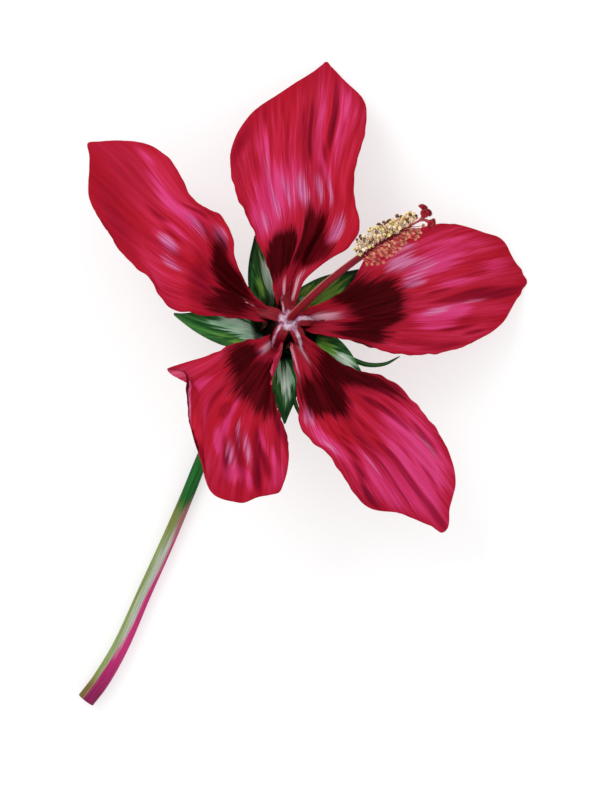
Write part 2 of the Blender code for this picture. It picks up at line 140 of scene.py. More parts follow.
TILT = Matrix.Rotation(AXIS_TILT, 4, (-sin(AXIS_HEADING), cos(AXIS_HEADING), 0))
AXIS = TILT.to_3x3() @ Vector((0, 0, 1))
RECEPTACLE = Matrix.Translation(THROAT - AXIS * THROAT_HEIGHT) @ TILT  # origin on the calyx floor


def on_receptacle(radius, heading, height):
    """A point round the flower's axis, height above the calyx floor."""
    return RECEPTACLE @ Vector((radius * cos(heading), radius * sin(heading), height))


def smooth_line(points, steps=10):
    """Points on a smooth line through the given ones, the given ones among them."""
    points = np.array([tuple(point) for point in points])
    chords = np.diff(points, axis=0)
    headings = np.vstack([chords[:1], points[2:] - points[:-2], chords[-1:]])
    headings /= np.linalg.norm(headings, axis=1)[:, None]
    line = [points[0]]
    for start, end, leaving, arriving in zip(points, points[1:], headings, headings[1:]):
        reach = np.linalg.norm(end - start) / 3
        near, far = start + leaving * reach, end - arriving * reach
        for t in np.linspace(0, 1, steps + 1)[1:]:
            s = 1 - t
            line.append(start * s**3 + near * 3 * s * s * t + far * 3 * s * t * t + end * t**3)
    return [Vector(point) for point in line]


def rings_along(line, radii, up=Vector((0, 0, 1)), flat=1.0):
    """Matrices that set a ring of radius 1 square to the line at each of its points."""
    rings = []
    for number, (point, radius) in enumerate(zip(line, radii)):
        ahead = line[min(number + 1, len(line) - 1)] - line[max(number - 1, 0)]
        forward = ahead.normalized()
        side = forward.cross(up).normalized()
        turned = Matrix((side, side.cross(forward), forward)).transposed().to_4x4()
        rings.append(Matrix.Translation(point) @ turned @ Matrix.Diagonal((radius, radius * flat, radius, 1)))
    return rings


def grown(bm, edges):
    """Grows new edges out of these, and gives the new vertices and edges."""
    items = bmesh.ops.extrude_edge_only(bm, edges=edges)["geom"]
    verts = [item for item in items if isinstance(item, bmesh.types.BMVert)]
    return verts, [item for item in items if isinstance(item, bmesh.types.BMEdge)]


def each_once(items):
    """Each of the items once, in their order."""
    return list(dict.fromkeys(items))


def drawn_rod(bm, rings, sides, closed_on_itself=False):
    """Draws one ring of edges through all the places and closes its ends. Each vertex keeps its grain:
    its direction round the rod (two numbers) and its share of the way along."""
    grain = bm.verts.layers.float_vector.get("grain") or bm.verts.layers.float_vector.new("grain")
    verts = bmesh.ops.create_circle(bm, segments=sides, radius=1)["verts"]
    first = edges = each_once(edge for vert in verts for edge in vert.link_edges)
    place, every = Matrix.Identity(4), list(verts)
    for number, ring in enumerate(rings):
        if number:
            verts, edges = grown(bm, edges)
            every += verts
        bmesh.ops.transform(bm, matrix=ring @ place.inverted(), verts=verts)
        place, back = ring, ring.inverted()
        for vert in verts:
            around = back @ vert.co
            vert[grain] = (around.x, around.y, number / (len(rings) - 1))
    if closed_on_itself:
        bmesh.ops.bridge_loops(bm, edges=first + edges)
    else:
        bmesh.ops.edgeloop_fill(bm, edges=first)
        bmesh.ops.edgeloop_fill(bm, edges=edges)
    faces = each_once(face for vert in every for face in vert.link_faces)
    bmesh.ops.recalc_face_normals(bm, faces=faces)
    return every


def set_down(name, bm, finishes, node):
    """Makes an object of a finished shape, in its place on the table, for that node of the solids."""
    bmesh.ops.translate(bm, verts=bm.verts, vec=FLOWER_AT)
    faces = sorted(bm.faces, key=lambda face: tuple(face.calc_center_median()))  # the same each run
    bm.faces.sort(key={face: place for place, face in enumerate(faces)}.get)
    mesh = bpy.data.meshes.new(name)
    bm.to_mesh(mesh)
    bm.free()
    mesh.shade_smooth()
    for finish in finishes:
        mesh.materials.append(finish)
    piece = put_out(name, mesh)
    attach(piece, "root")
    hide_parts(node)
    return piece


class Flow:
    """A value that flows through the nodes of a finish. It adds up and multiplies as a number does."""

    def __init__(self, tree, socket):
        self.tree, self.socket = tree, socket

    def __add__(self, other):
        return sums("ADD", self, other)

    def __sub__(self, other):
        return sums("SUBTRACT", self, other)

    def __rsub__(self, other):
        return sums("SUBTRACT", other, self)

    def __mul__(self, other):
        return sums("MULTIPLY", self, other)

    def __abs__(self):
        return sums("ABSOLUTE", self)


def wire(tree, kind, gives, feeds, **settings):
    """An output of a new node with its settings made and its sockets fed, by a value or a flow."""
    made = tree.nodes.new("ShaderNode" + kind)
    for setting, value in settings.items():
        setattr(made, setting, value)
    for socket, value in feeds.items():
        if isinstance(value, Flow):
            tree.links.new(value.socket, made.inputs[socket])
        else:
            made.inputs[socket].default_value = value
    return Flow(tree, made.outputs[gives])


def sums(operation, *values):
    """A sum of numbers and flows, at least one of them a flow."""
    tree = next(value.tree for value in values if isinstance(value, Flow))
    return wire(tree, "Math", 0, dict(enumerate(values)), operation=operation)


def rising(flow, low, high):
    """0 up to low, 1 from high on, and a smooth step between."""
    feeds = {"Value": flow, "From Min": low, "From Max": high}
    return wire(flow.tree, "MapRange", "Result", feeds, interpolation_type="SMOOTHSTEP")


def tint(colour):
    """A card's colour in the linear values that shaders take. A flow stays as it is."""
    if isinstance(colour, Flow):
        return colour
    shares = [value / 255 for value in colour]
    return (*[s / 12.92 if s <= 0.04045 else ((s + 0.055) / 1.055) ** 2.4 for s in shares], 1)


def glazed(share, under, over):
    """One colour laid over another, by its share."""
    return wire(share.tree, "Mix", 2, {0: share, 6: tint(under), 7: tint(over)}, data_type="RGBA")


def read_mark(tree, name, gives="Fac"):
    """A vertex mark of the piece, a single number."""
    return wire(tree, "Attribute", gives, {}, attribute_name=name)


def read_grain(tree):
    return read_mark(tree, "grain", "Vector")


def part(grain, number):
    """One of the grain's three numbers."""
    return wire(grain.tree, "SeparateXYZ", number, {0: grain})


def clouds(tree, scale, detail=2):
    """Soft clouds in the piece, scale to the metre."""
    place = wire(tree, "TexCoord", "Object", {})
    return wire(tree, "TexNoise", "Fac", {"Vector": place, "Scale": scale, "Detail": detail})


def cells(tree, scale):
    """Small cells in the piece, scale to the metre, each 0 at its middle."""
    place = wire(tree, "TexCoord", "Object", {})
    return wire(tree, "TexVoronoi", "Distance", {"Vector": place, "Scale": scale})


def new_effect(name, takes, gives, make):
    """A node group with named inputs and their usual values, and one output that is made of them."""
    tree = bpy.data.node_groups.new(name, "ShaderNodeTree")
    for socket, value in takes.items():
        kind = "NodeSocketVector" if isinstance(value, tuple) else "NodeSocketFloat"
        tree.interface.new_socket(socket, in_out="INPUT", socket_type=kind).default_value = value
    tree.interface.new_socket(gives, in_out="OUTPUT", socket_type="NodeSocketFloat")
    given = tree.nodes.new("NodeGroupInput").outputs
    result = make(*[Flow(tree, given[socket]) for socket in takes])
    tree.links.new(result.socket, tree.nodes.new("NodeGroupOutput").inputs[gives])
    return tree


def grain_streaks(grain, stretch):
    """Long soft streaks that follow the grain of a stem, leaf or petal, stretched by three numbers."""
    tree = grain.tree
    stretched = wire(tree, "VectorMath", 0, {0: grain, 1: stretch}, operation="MULTIPLY")
    feeds = {"Vector": stretched, "Scale": 1, "Detail": 2, "Roughness": 0.55}
    spread = {"Value": wire(tree, "TexNoise", "Fac", feeds), "From Min": 0.3, "From Max": 0.7}
    return wire(tree, "MapRange", "Result", spread)


GRAIN_STREAKS = new_effect("grain_streaks", {"Grain": (0, 0, 0), "Stretch": (1, 1, 1)},
                           "Streak", grain_streaks)


def streaks(grain, stretch):
    """The streaks of one finish."""
    return wire(grain.tree, "Group", "Streak", {"Grain": grain, "Stretch": stretch}, node_tree=GRAIN_STREAKS)


def dress(finish, colour, relief=None, depth=0):
    """Gives a finish its colour, and a relief from 0 to 1 that stands depth metres high at 1."""
    tree = finish.node_tree
    shader = tree.nodes["Principled BSDF"]
    tree.links.new(colour.socket, shader.inputs["Base Color"])
    if relief is not None:
        bump = wire(tree, "Bump", "Normal", {"Height": relief, "Distance": depth, "Strength": 1})
        tree.links.new(bump.socket, shader.inputs["Normal"])


stem_lying = [(x, y, radius, radius) for x, y, radius in STEM_ON_TABLE]
stem_top = CALYX_UNDERSIDE - DISC_THICKNESS - 2 * GAP
stem_neck = [(*(on_receptacle(0, 0, stem_top + height * MM) / MM), radius) for height, radius in STEM_NECK]
stem_line = smooth_line(stem_lying + STEM_CLIMB + stem_neck)
stem_shape = bmesh.new()
stem_rings = rings_along([Vector(knot[:3]) * MM for knot in stem_line], [knot[3] * MM for knot in stem_line])
drawn_rod(stem_shape, stem_rings, STEM_SIDES)
stem_ends = [face for face in stem_shape.faces if len(face.verts) == STEM_SIDES]
stem_cut = min(stem_ends, key=lambda face: face.calc_center_median().y)
stem_rind = bmesh.ops.inset_region(stem_shape, faces=[stem_cut], thickness=STEM_RIND)["faces"]
for face in [stem_cut, *stem_rind]:
    face.material_index = 1

stem_finish, tree = new_finish("stem_skin", 0.5, gloss=0.08)
grain = read_grain(tree)
right, top, along = (part(grain, number) for number in range(3))
fine = streaks(grain, (7, 7, 10))
broad = streaks(grain, (1.6, 1.6, 9))
green = glazed(fine, (104, 120, 52), (146, 162, 100))
# a painted highlight: paler grey-green along the stem's top, reaching round towards its right side
stem_highlight_tint = glazed(fine, (140, 160, 134), (198, 196, 194))
stem_highlight = top + (fine - 0.5) * 0.3 + right * 0.45
skin = glazed(rising(stem_highlight, 0.45, 0.95) * 0.9, green, stem_highlight_tint)
foot = 1 - rising(along, 0.02, 0.2)
blush_side = right + (broad - 0.5) * 0.6 + (0.34 - along) * 2.1 + foot * 0.45
past_foot = rising(along, 0.02, 0.18)
purple = glazed(past_foot, (92, 10, 50), (160, 20, 88))
mauve = glazed(past_foot, (150, 36, 96), (200, 58, 124))
skin = glazed(rising(blush_side, 0.32, 0.8), skin, glazed(fine, purple, mauve))
brown_edge = rising(-0.1 - right, 0, 0.6) * rising(0.12 - along, 0, 0.08)
skin = glazed(brown_edge, skin, glazed(fine, (84, 56, 28), (136, 122, 58)))
neck = broad * 0.05 + along
olive = glazed(rising(right, -0.1, 0.7), (112, 120, 52), (146, 76, 84))
skin = glazed(rising(neck, 0.34, 0.4) * 0.85, skin, olive)
skin = glazed(rising(neck, 0.4, 0.44), skin, glazed(fine, (8, 58, 22), (38, 112, 44)))
dress(stem_finish, skin, clouds(tree, 1400) * 0.7 + fine, depth=0.16 * MM)

cut_finish, tree = new_finish("stem_cut_face", 0.8)
fibres = cells(tree, 2200)
dress(cut_finish, glazed(fibres, (128, 84, 52), (84, 34, 44)), fibres, depth=0.2 * MM)

set_down("stem_stalk", stem_shape, [stem_finish, cut_finish], "stem")


# ---- Epicalyx ----------------------------------------------------------------------------
# A whorl of ten narrow green bracts, grown from one small disc between stem and calyx. Each is a
# flat strap with a fine point that curves up round the calyx; two curl outwards instead.

DISC_RADIUS = 4.6 * MM
DISC_PROFILE = [(0.93, 0), (1, 0.18), (1, 0.82), (0.93, 1)]  # shares of its radius and thickness
DISC_SIDES = 40
BRACTS = 10
BRACT_RADIUS = 0.75 * MM
BRACT_WIDTH = 1.3  # half of it, to the radius
BRACT_FLATNESS = 0.5
BRACT_SIDES = 12
BRACT_TIP = 0.16  # its width there, as a share
BRACT_SHAPE = [(8.4, -0.2), (14.9, 2.4), (20.2, 5.8), (24, 10)]  # reach and rise
BRACT_SWEEP = -2  # of the tip, in degrees
FIRST_BRACT = -30  # heading, in degrees
CURLED_BRACTS = {  # x, y and height in plan
    0: [(6.5, -6.4, 14.8), (19, -9.8, 16.5), (24.9, -11.8, 18.5), (30.1, -11.6, 20.5), (34.5, -9.4, 22.5)],
    9: [(-0.5, -12, 18.6), (1.9, -20, 21.5), (3.6, -25, 25.5), (4.2, -27, 28)],
}

whorl_shape = bmesh.new()
disc_foot = CALYX_UNDERSIDE - GAP - DISC_THICKNESS
disc_line = [on_receptacle(0, 0, disc_foot + DISC_THICKNESS * height) for width, height in DISC_PROFILE]
disc_rings = rings_along(disc_line, [DISC_RADIUS * width for width, height in DISC_PROFILE])
drawn_rod(whorl_shape, disc_rings, DISC_SIDES)
bract_level = CALYX_UNDERSIDE - GAP - BRACT_RADIUS
for number in range(BRACTS):
    knots = [Vector(point) * MM for point in CURLED_BRACTS.get(number, [])]
    if not knots:
        for reach, rise in BRACT_SHAPE:
            heading = FIRST_BRACT + number * 360 / BRACTS + BRACT_SWEEP * (reach / BRACT_SHAPE[-1][0]) ** 2
            knots.append(on_receptacle(reach * MM, radians(heading), bract_level + rise * MM))
    line = smooth_line([on_receptacle(0, 0, bract_level), *knots], steps=7)
    shares = [step / (len(line) - 1) for step in range(len(line))]
    widths = [BRACT_WIDTH * BRACT_RADIUS * (1 - (1 - BRACT_TIP) * share**3) for share in shares]
    drawn_rod(whorl_shape, rings_along(line, widths, AXIS, flat=BRACT_FLATNESS), BRACT_SIDES)

bract_finish, tree = new_finish("bract_green", 0.5, gloss=0.06)
grain = read_grain(tree)
fine = streaks(grain, (5, 1.5, 9))
rib = rising(1 - abs(part(grain, 0)), 0.55, 1)
leaf = glazed(rib * 0.6, glazed(fine, (12, 52, 30), (44, 98, 46)), (96, 146, 84))
dress(bract_finish, leaf, fine + rib, depth=0.1 * MM)

set_down("epicalyx_bracts", whorl_shape, [bract_finish], "epicalyx")


# ---- Calyx -------------------------------------------------------------------------------
# The green cup under the petals, which splits into five leafy pointed lobes. Each lobe has a painted
# highlight along its sunken middle, some painted bluish highlights, painted shade towards its margins
# and parallel ribs, and is plain and ribbed outside.

CALYX_WALL = 0.8 * MM
CALYX_PROFILE = [(5.4, -0.5), (7.4, 1.8), (9.2, 5.4), (11.4, 8.7), (15.5, 11.3), (21.5, 13),
                 (29, 13.8), (40, 13.4)]  # radius and height
CUP_LENGTH = 9.5 * MM  # along the profile, from its first point to the notches
LOBE_BELLY = 1.4  # crowds the grid's lines into the middle of each lobe
LOBE_POINT = 0.74  # below 1 the lobes are ovate with a drawn-out point
LOBE_KEEL = 1.3 * MM  # how far the middle of a lobe sinks below its edges
LOBE_COLUMNS = 26
CUP_RINGS = 6
LOBE_RINGS = 26
LOBE_RIBS = 4  # on each half of a lobe
LOBE_RIB = 0.1 * MM  # how far the ribs stand out
# Each lobe: its heading, its length past the notch and the sideways sweep of its tip. The marks are
# soft spots of colour, painted highlights pale and bluish, a brighter green, and painted shade: place
# to the left and along, half width and half length, all in hundredths of the lobe, and strength where
# it isn't 1.
LOBES = [
    dict(
        at=(36.5, 20.5, 2),
        pale=[(60, 12, 25, 16, 0.7)],
        bright=[(40, 40, 50, 40, 1.2), (-5, 35, 35, 35, 1.1)],
        sepal_shade=[(-60, 60, 32, 35, 1.2), (-30, 96, 80, 12)],
    ),
    dict(
        at=(114, 20, -9),
        pale=[(-14, 32, 22, 36, 1.5), (75, 20, 10, 10, 0.7)],
        blue_highlight=[(72, 42, 16, 40, 1.1), (50, 10, 12, 12, 0.7)],
        bright=[(26, 30, 13, 34, 1.1)],
        sepal_shade=[(-62, 50, 25, 60, 1.3), (45, 50, 8, 30), (0, 98, 100, 12, 0.8)],
    ),
    dict(
        at=(195.3, 27.3, -20),
        pale=[(-20, 40, 20, 36, 1.4), (10, 12, 40, 20, 1.4), (35, 32, 20, 12, 0.7)],
        blue_highlight=[(-42, 50, 10, 20, 0.6)],
        bright=[(62, 20, 20, 12), (40, 60, 40, 30, 0.5)],
        sepal_shade=[(-75, 40, 24, 50, 1.3), (98, 50, 10, 40, 0.9)],
    ),
    dict(
        at=(264, 24.5, 2),
        pale=[(-16, 38, 12, 28, 1.1), (16, 45, 16, 34, 1.4), (-80, 40, 10, 20, 0.5)],
        bright=[(-50, 60, 20, 20, 0.4)],
        sepal_shade=[(75, 40, 22, 50, 1.2), (0, 0, 70, 12), (0, 92, 80, 14, 0.7)],
    ),
    dict(
        at=(326.7, 20.5, -8),
        pale=[(-45, 66, 45, 32, 1.7), (-10, 72, 30, 24)],
        bright=[(0, 28, 40, 20, 1.3), (20, 50, 25, 20, 0.7)],
        sepal_shade=[(80, 40, 25, 50, 1.3), (0, 0, 80, 8)],
    ),
]


def walk(line):
    """A function that gives the point at a share, 0 to 1, of the line's length."""
    points = np.array([tuple(point) for point in line])
    run = np.concatenate([[0], np.cumsum(np.linalg.norm(np.diff(points, axis=0), axis=1))])
    return lambda share: Vector([np.interp(share * run[-1], run, places) for places in points.T])


def lobe_at(turn):
    """At a turn round the calyx, counted in lobes: heading, length, sweep, and the share out from the
    middle of the lobe to the notch beside it."""
    number = round(turn) % len(LOBES)
    heading, length, sweep = LOBES[number]["at"]
    side = turn - round(turn)
    neighbour = LOBES[(number + (1 if side > 0 else -1)) % len(LOBES)]["at"][0]
    to_notch = ((neighbour - heading + 180) % 360 - 180) / 2
    out = min(abs(side) * 2, 1) ** LOBE_BELLY
    return heading + to_notch * out, length * MM * (1 - out**LOBE_POINT), sweep, out


def strength_at(across, along, spots):
    """How strongly soft spots, in hundredths, mark a place, all together."""
    total = 0
    for spot_across, spot_along, half_width, half_length, *strength in spots:
        off = (100 * across - spot_across) / half_width, (100 * along - spot_along) / half_length
        total += exp(-(off[0] ** 2 + off[1] ** 2)) * sum(strength or [1])
    return total


def walled(sheet, thickness):
    """Gives a thin sheet its thickness, and its other side the second finish."""
    skin = sheet.modifiers.new("Wall", "SOLIDIFY")
    skin.thickness = thickness
    skin.offset = 0
    skin.material_offset = 1


def ragged_mark(mark, streak, spread, begin, full):
    """A soft mark whose edge runs out along the streaks of the grain."""
    shift = (streak - 0.5) * spread * rising(mark, 0.03, 0.4)
    return rising(mark + shift, begin, full)


RAGGED_MARK = new_effect("ragged_mark", {"Mark": 0.0, "Streak": 0.5, "Spread": 0.7, "From": 0.2, "To": 0.8},
                         "Share", ragged_mark)


def ragged(mark, streak, spread, begin, full):
    """A vertex mark of one finish, made ragged: how far its edge runs, where it begins and is full."""
    feeds = {"Streak": streak, "Spread": spread, "From": begin, "To": full}
    feeds["Mark"] = read_mark(streak.tree, mark)
    return wire(streak.tree, "Group", "Share", feeds, node_tree=RAGGED_MARK)


cup_shape = bmesh.new()
lobe_grain = cup_shape.verts.layers.float_vector.new("grain")
lobe_marks = {mark: cup_shape.verts.layers.float.new(mark) for mark in ("pale", "blue_highlight", "bright", "sepal_shade")}
bmesh.ops.create_circle(cup_shape, cap_ends=True, cap_tris=True, segments=LOBE_COLUMNS * len(LOBES), radius=1)
rim = [edge for edge in cup_shape.edges if edge.is_boundary]
for ring in range(1, CUP_RINGS + LOBE_RINGS + 1):
    outer, rim = grown(cup_shape, rim)
    bmesh.ops.scale(cup_shape, verts=outer, vec=Vector((1, 1, 1)) * (ring + 1) / ring)
wall_line = smooth_line([(radius, 0, height) for radius, height in CALYX_PROFILE])
wall_length = sum((after - before).length for before, after in zip(wall_line, wall_line[1:])) * MM
wall = walk(wall_line)
for vert in cup_shape.verts:
    ring = round(vert.co.length) - 1
    if ring < 0:
        vert.co = (0, 0, CALYX_PROFILE[0][1] * MM)
        continue
    turn = atan2(vert.co.y, vert.co.x) / tau * len(LOBES) % len(LOBES)
    heading, lobe_length, sweep, out = lobe_at(turn)
    up_lobe = max(ring - CUP_RINGS, 0) / LOBE_RINGS
    reach = (CUP_LENGTH * min(ring / CUP_RINGS, 1) + lobe_length * up_lobe) / wall_length
    place = wall(reach) * MM
    keel = LOBE_KEEL * (1 - out) ** 2 * sin(pi * min(up_lobe, 0.9))
    keel += LOBE_RIB * abs(sin(LOBE_RIBS * pi * out)) * min(2 * up_lobe, 1)
    turned = radians(heading + sweep * reach**2)
    vert.co = (place.x * cos(turned), place.x * sin(turned), place.z - keel)
    side, lobe = copysign(out, turn - round(turn)), round(turn) % len(LOBES)
    vert[lobe_grain] = (side, up_lobe, lobe)
    for mark, layer in lobe_marks.items():
        vert[layer] = strength_at(side, up_lobe, LOBES[lobe].get(mark, []))
bmesh.ops.transform(cup_shape, matrix=RECEPTACLE, verts=cup_shape.verts)

sepal_finish, tree = new_finish("sepal_green", 0.5, gloss=0.06)
grain = read_grain(tree)
fine = streaks(grain, (16, 2.2, 3.1))
broad = streaks(grain, (5, 1.6, 3.1))
leaf = glazed(fine, (14, 62, 28), (66, 122, 56))
leaf = glazed(ragged("bright", fine, 0.6, 0.2, 1), leaf, glazed(fine, (50, 122, 40), (128, 172, 72)))
# painted highlights, bluish
leaf = glazed(ragged("blue_highlight", fine, 0.4, 0.3, 1), leaf, glazed(fine, (14, 66, 84), (66, 128, 144)))
# painted shade, dark green
leaf = glazed(ragged("sepal_shade", fine, 0.5, 0.2, 0.9), leaf, (6, 40, 20))
# pale painted highlights, mostly along the middles of the lobes
leaf = glazed(ragged("pale", fine, 0.9, 0.3, 1), leaf, glazed(broad, (122, 168, 132), (206, 226, 212)))
dress(sepal_finish, leaf, fine, depth=0.12 * MM)

outside_finish, tree = new_finish("sepal_outside", 0.6, gloss=0.06)
grain = read_grain(tree)
from_middle = abs(part(grain, 0))
fine = streaks(grain, (22, 2, 3.1))
rib = 1 - rising(sums("PINGPONG", from_middle, 0.5 / LOBE_RIBS), 0, 0.05)
leaf = glazed(rib * 0.45, glazed(fine, (40, 92, 44), (104, 148, 82)), (150, 182, 124))
leaf = glazed(rising(from_middle, 0.8, 1), leaf, (22, 66, 32))
dress(outside_finish, leaf, rib * 0.7 + fine * 0.3, depth=0.2 * MM)

walled(set_down("calyx_cup", cup_shape, [sepal_finish, outside_finish], "calyx"), CALYX_WALL)


# ---- Petals ------------------------------------------------------------------------------
# Five thin crimson petals, each on a narrow claw that stands in the cup. A blade is stretched
# between its outline's sides and its outer edge, bowed, folded and pleated, with grooved veins.

PETAL_THICKNESS = 0.5 * MM
CLAW_RING = 5.3 * MM  # radius on which the claws stand
CLAW_FOOT = 0.9 * MM  # height of the claws' feet over the calyx floor
CLAW_BEND = 8.5 * MM  # height where they turn outwards
CLAW_HALF_ANGLE = radians(21)
CLAW_TO_BLADE = (0.12, 0.2)  # share of the length where the blade starts, and its step
PETAL_COLUMNS = 72
PETAL_ROWS = 112
PLEATS = 3
PLEAT_DEPTH = 0.35
RUFFLES = 2.5  # along each margin
RUFFLE_HEIGHT = 0.8
BOW_END = 0.94  # the bow stops short of the tip
FOLD_WIDTH = 0.2
FOLD_END = 0.15  # share of the length over which a fold runs out
OUTLINE_STEPS = 10  # between two points of the outline
VEINS = 11  # grooved lengthwise into each blade
VEIN_DEPTH = 0.16
CRINKLES = 9  # small waves along each margin
CRINKLE_HEIGHT = 0.3
NIBBLE = 0.16  # how far the margins waver in and out
NIBBLE_WAVES = (53, 97)
APEX_BEHIND = 9 * MM  # the streaks fan out from a point behind the throat
STREAK_FAN = radians(40)
STREAK_FOLLOW = 0.5  # how far they follow the blade's sides instead
STREAK_SPREAD = 0.9
STREAK_STEP = 3.7  # sets each petal's streaks apart from the others'

# Each petal's outline runs from the claw's left side, as seen from the flower's middle, over the
# tip to its right side: x, y and height. shoulders are the outline points where the sides end.
# bow is how far the middle stands over the sides near the claw and near the tip. fold is a
# lengthwise valley: its place across the petal, its depth, and the share of the length it spans.
# The marks are soft spots of colour: the dark eye, painted lilac highlights, pink streaks, and painted
# shade in patches and thin dark streaks. Each spot gives place across and along, half width and half
# length, all in hundredths of the blade, and strength where it isn't 1. nudges push such spots aside,
# each its way.
PETALS = {}
PETALS["petal_1"] = dict(
    claw=88, shoulders=(4, 12), bow=(-2.2, 2), fold=(0.55, 2.2, 0.12, 0.62),
    outline=[(-2.8, 8, 30.5), (-4.7, 17, 32.5), (-10.3, 29.5, 33), (-14.7, 40, 31), (-16.2, 52, 26.5),
             (-10.6, 63.6, 19), (-0.1, 71.9, 12), (7.6, 77.6, 5.6), (11.4, 81, 1.3), (12.7, 82, 0.12),
             (13.9, 80.6, 1.3), (17.9, 75.6, 5.8), (24.2, 68.4, 11.5), (24.2, 58.6, 18), (20.9, 47, 25.5),
             (20.8, 38, 29.5), (22.3, 30, 33), (19.5, 23.5, 33.5), (12, 18.5, 33), (6, 13.5, 32),
             (3.4, 7.5, 30.3)],
    deep=[(12, 40, 12, 6), (24, 41, 10, 6, 1.1), (35, 40, 6, 7, 0.9), (51, 44, 6, 8, 1.2),
          (63, 40, 10, 7, 1.2), (85, 33, 12, 5, 0.9), (30, 34, 40, 7), (78, 34, 12, 6, 0.8),
          (42, 42, 1.6, 10, -1.5)],
    petal_highlight=[(48, 58, 4.5, 6, 1.2), (62, 56, 4, 5), (73.5, 55, 3, 6, 1.1), (84, 44, 5, 6, 1.1),
           (37.5, 60, 3, 7, 0.9), (26.5, 59, 2.5, 7), (14, 55, 4, 5, 0.8), (28, 72, 2, 7, 0.7),
           (35, 20, 5, 6, 1.2), (88, 19, 6, 7, 1.3)],
    pink=[(30, 62, 22, 10, 0.9), (28, 82, 5, 10, 0.5), (67.5, 80, 3.5, 14, 0.6), (85, 77, 4, 14, 0.6),
          (10, 56, 12, 7, 0.7), (72, 61, 6, 6, 0.6), (85, 93, 15, 8, 0.35)],
    petal_shade=[(77.5, 87, 2.2, 10, 1.4), (77.5, 74.5, 2.5, 6, 1.2), (72, 66.5, 2.8, 4), (67, 61, 2.5, 3.5, 0.8),
          (58.8, 81, 1.6, 10), (58.8, 70, 1.8, 5, 0.8), (53, 84, 1, 6, 0.6), (12, 93, 12, 6, 0.7),
          (30, 95, 1.2, 6, 0.7), (40, 93, 1.2, 6, 0.7), (95, 62, 4, 6, 0.5), (42, 70, 1, 8, 0.7)],
)
PETALS["petal_2"] = dict(
    claw=9, shoulders=(6, 13), bow=(-2.2, 1.8), fold=(-0.5, 1.2, 0.2, 0.6),
    outline=[(7, 4.6, 30.5), (14, 7.6, 32), (20, 12.5, 32.5), (24, 19.5, 32.5), (33, 26, 30),
             (42, 29.6, 25.5), (51, 30.6, 20), (60.8, 28.2, 13.5), (66.4, 26.4, 9.5), (70.5, 19.9, 4.5),
             (74.8, 14, -0.38), (70.8, 7.9, 4), (65.7, 0.3, 8.5), (56.6, -5.1, 14), (47, -8.3, 18.5),
             (38, -9, 23), (27, -7, 27.5), (17, -4.3, 30.5), (8, -2.2, 30.5)],
    deep=[(30, 41, 30, 10, 1.2), (42, 45, 14, 8), (75, 39, 22, 11, 1.1), (66, 49, 6, 5, 0.5),
          (92, 40, 10, 10, 0.8), (6, 38, 12, 7)],
    petal_highlight=[(21, 60, 7, 6, 1.1), (12, 68, 5, 5, 0.6), (38, 59, 5, 5), (42, 18, 14, 9, 1.7),
           (30, 67, 5, 5, 0.6), (64, 65, 3.5, 5, 0.9), (60, 75, 2.5, 12, 0.5)],
    pink=[(32, 68, 6, 10, 1.1), (67, 69, 6, 9, 1.9), (22, 80, 10, 14, 0.6), (42, 92, 4, 7, 0.8),
          (46, 73, 3, 8, 0.8), (76, 69, 1.4, 7)],
    petal_shade=[(56, 70, 1.4, 10, 1.1), (58, 80, 2, 12, 1.1), (59, 93, 3.5, 9, 1.3), (50, 66, 1.2, 6),
          (54, 79, 1.4, 9), (78, 77, 1.4, 9, 1.2), (83, 88, 2, 6, 0.9), (93, 80, 5, 14, 0.6),
          (40, 57, 1.4, 5)],
    nudges=[(51, 100, 2.8, 4, (-0.9, -0.2, 0)), (58.8, 100, 2.8, 4, (-0.9, 0.2, 0))],
)
PETALS["petal_3"] = dict(
    claw=306, shoulders=(5, 11), bow=(-2, 2.4), fold=(0.62, 1.6, 0.2, 0.6),
    outline=[(5.4, -3.3, 30.5), (12, -8.3, 34), (20, -12.8, 36.5), (31, -16.8, 37.5), (41, -26, 36.5),
             (48, -36.5, 33.5), (50.8, -46.5, 29.5), (49.4, -55, 24.5), (47.9, -62.4, 20),
             (43.5, -60.3, 22.5), (34, -56.4, 29), (24.5, -54.2, 34), (17.9, -46.2, 39.5),
             (12.4, -38.1, 42.5), (5.6, -31.5, 43.5), (4, -24, 42.5), (3.3, -15, 39.5), (1.9, -7.5, 34)],
    deep=[(35, 34, 34, 10, 1.2), (80, 42, 20, 8, 1.2), (55, 42, 14, 7), (10, 43, 12, 12),
          (6, 60, 5, 15, 0.7)],
    petal_highlight=[(92, 50, 5, 5), (92, 66, 2.5, 6, 0.8), (73.5, 75, 1.4, 7, 0.8), (20.5, 81, 2.5, 8, 0.6),
           (60, 15, 16, 9, 1.4), (97, 25, 4, 12, 0.9), (30, 80, 3, 6, 0.5)],
    pink=[(29, 70, 5, 9, 1.1), (42, 74, 3.5, 9), (31, 83, 4, 7), (43, 86, 3.5, 8), (90, 64, 4.5, 9, 1.2),
          (74, 78, 3.5, 10, 1.2), (14.5, 76, 1.4, 9, 1.2), (58, 80, 4, 12, 0.8), (80, 88, 5, 8, 0.8),
          (45, 86, 60, 22, 0.6)],
    petal_shade=[(68, 56, 3, 4, 0.7), (75, 62, 2.5, 4, 0.8), (82, 69, 2, 5), (86.5, 78, 1.8, 6, 1.1),
          (91, 90, 2, 7, 1.1), (60, 60, 1.6, 6, 0.8), (64, 73, 1.4, 7), (65.5, 86, 1.4, 8),
          (45, 54, 1.8, 6, 0.8), (48.5, 66, 1.8, 7, 1.2), (50.3, 79, 2, 9, 1.4), (49, 94, 2.2, 7, 1.4),
          (38.5, 73, 1.4, 7, 0.8), (34.5, 86, 1.6, 7), (24, 56, 2.5, 7, 1.3), (24.5, 67, 2, 6, 1.2),
          (17, 79, 1.6, 8, 1.1), (12, 57, 1.8, 10, 1.4), (20.5, 81, 2.2, 8), (93, 95, 5, 6, 0.6)],
)
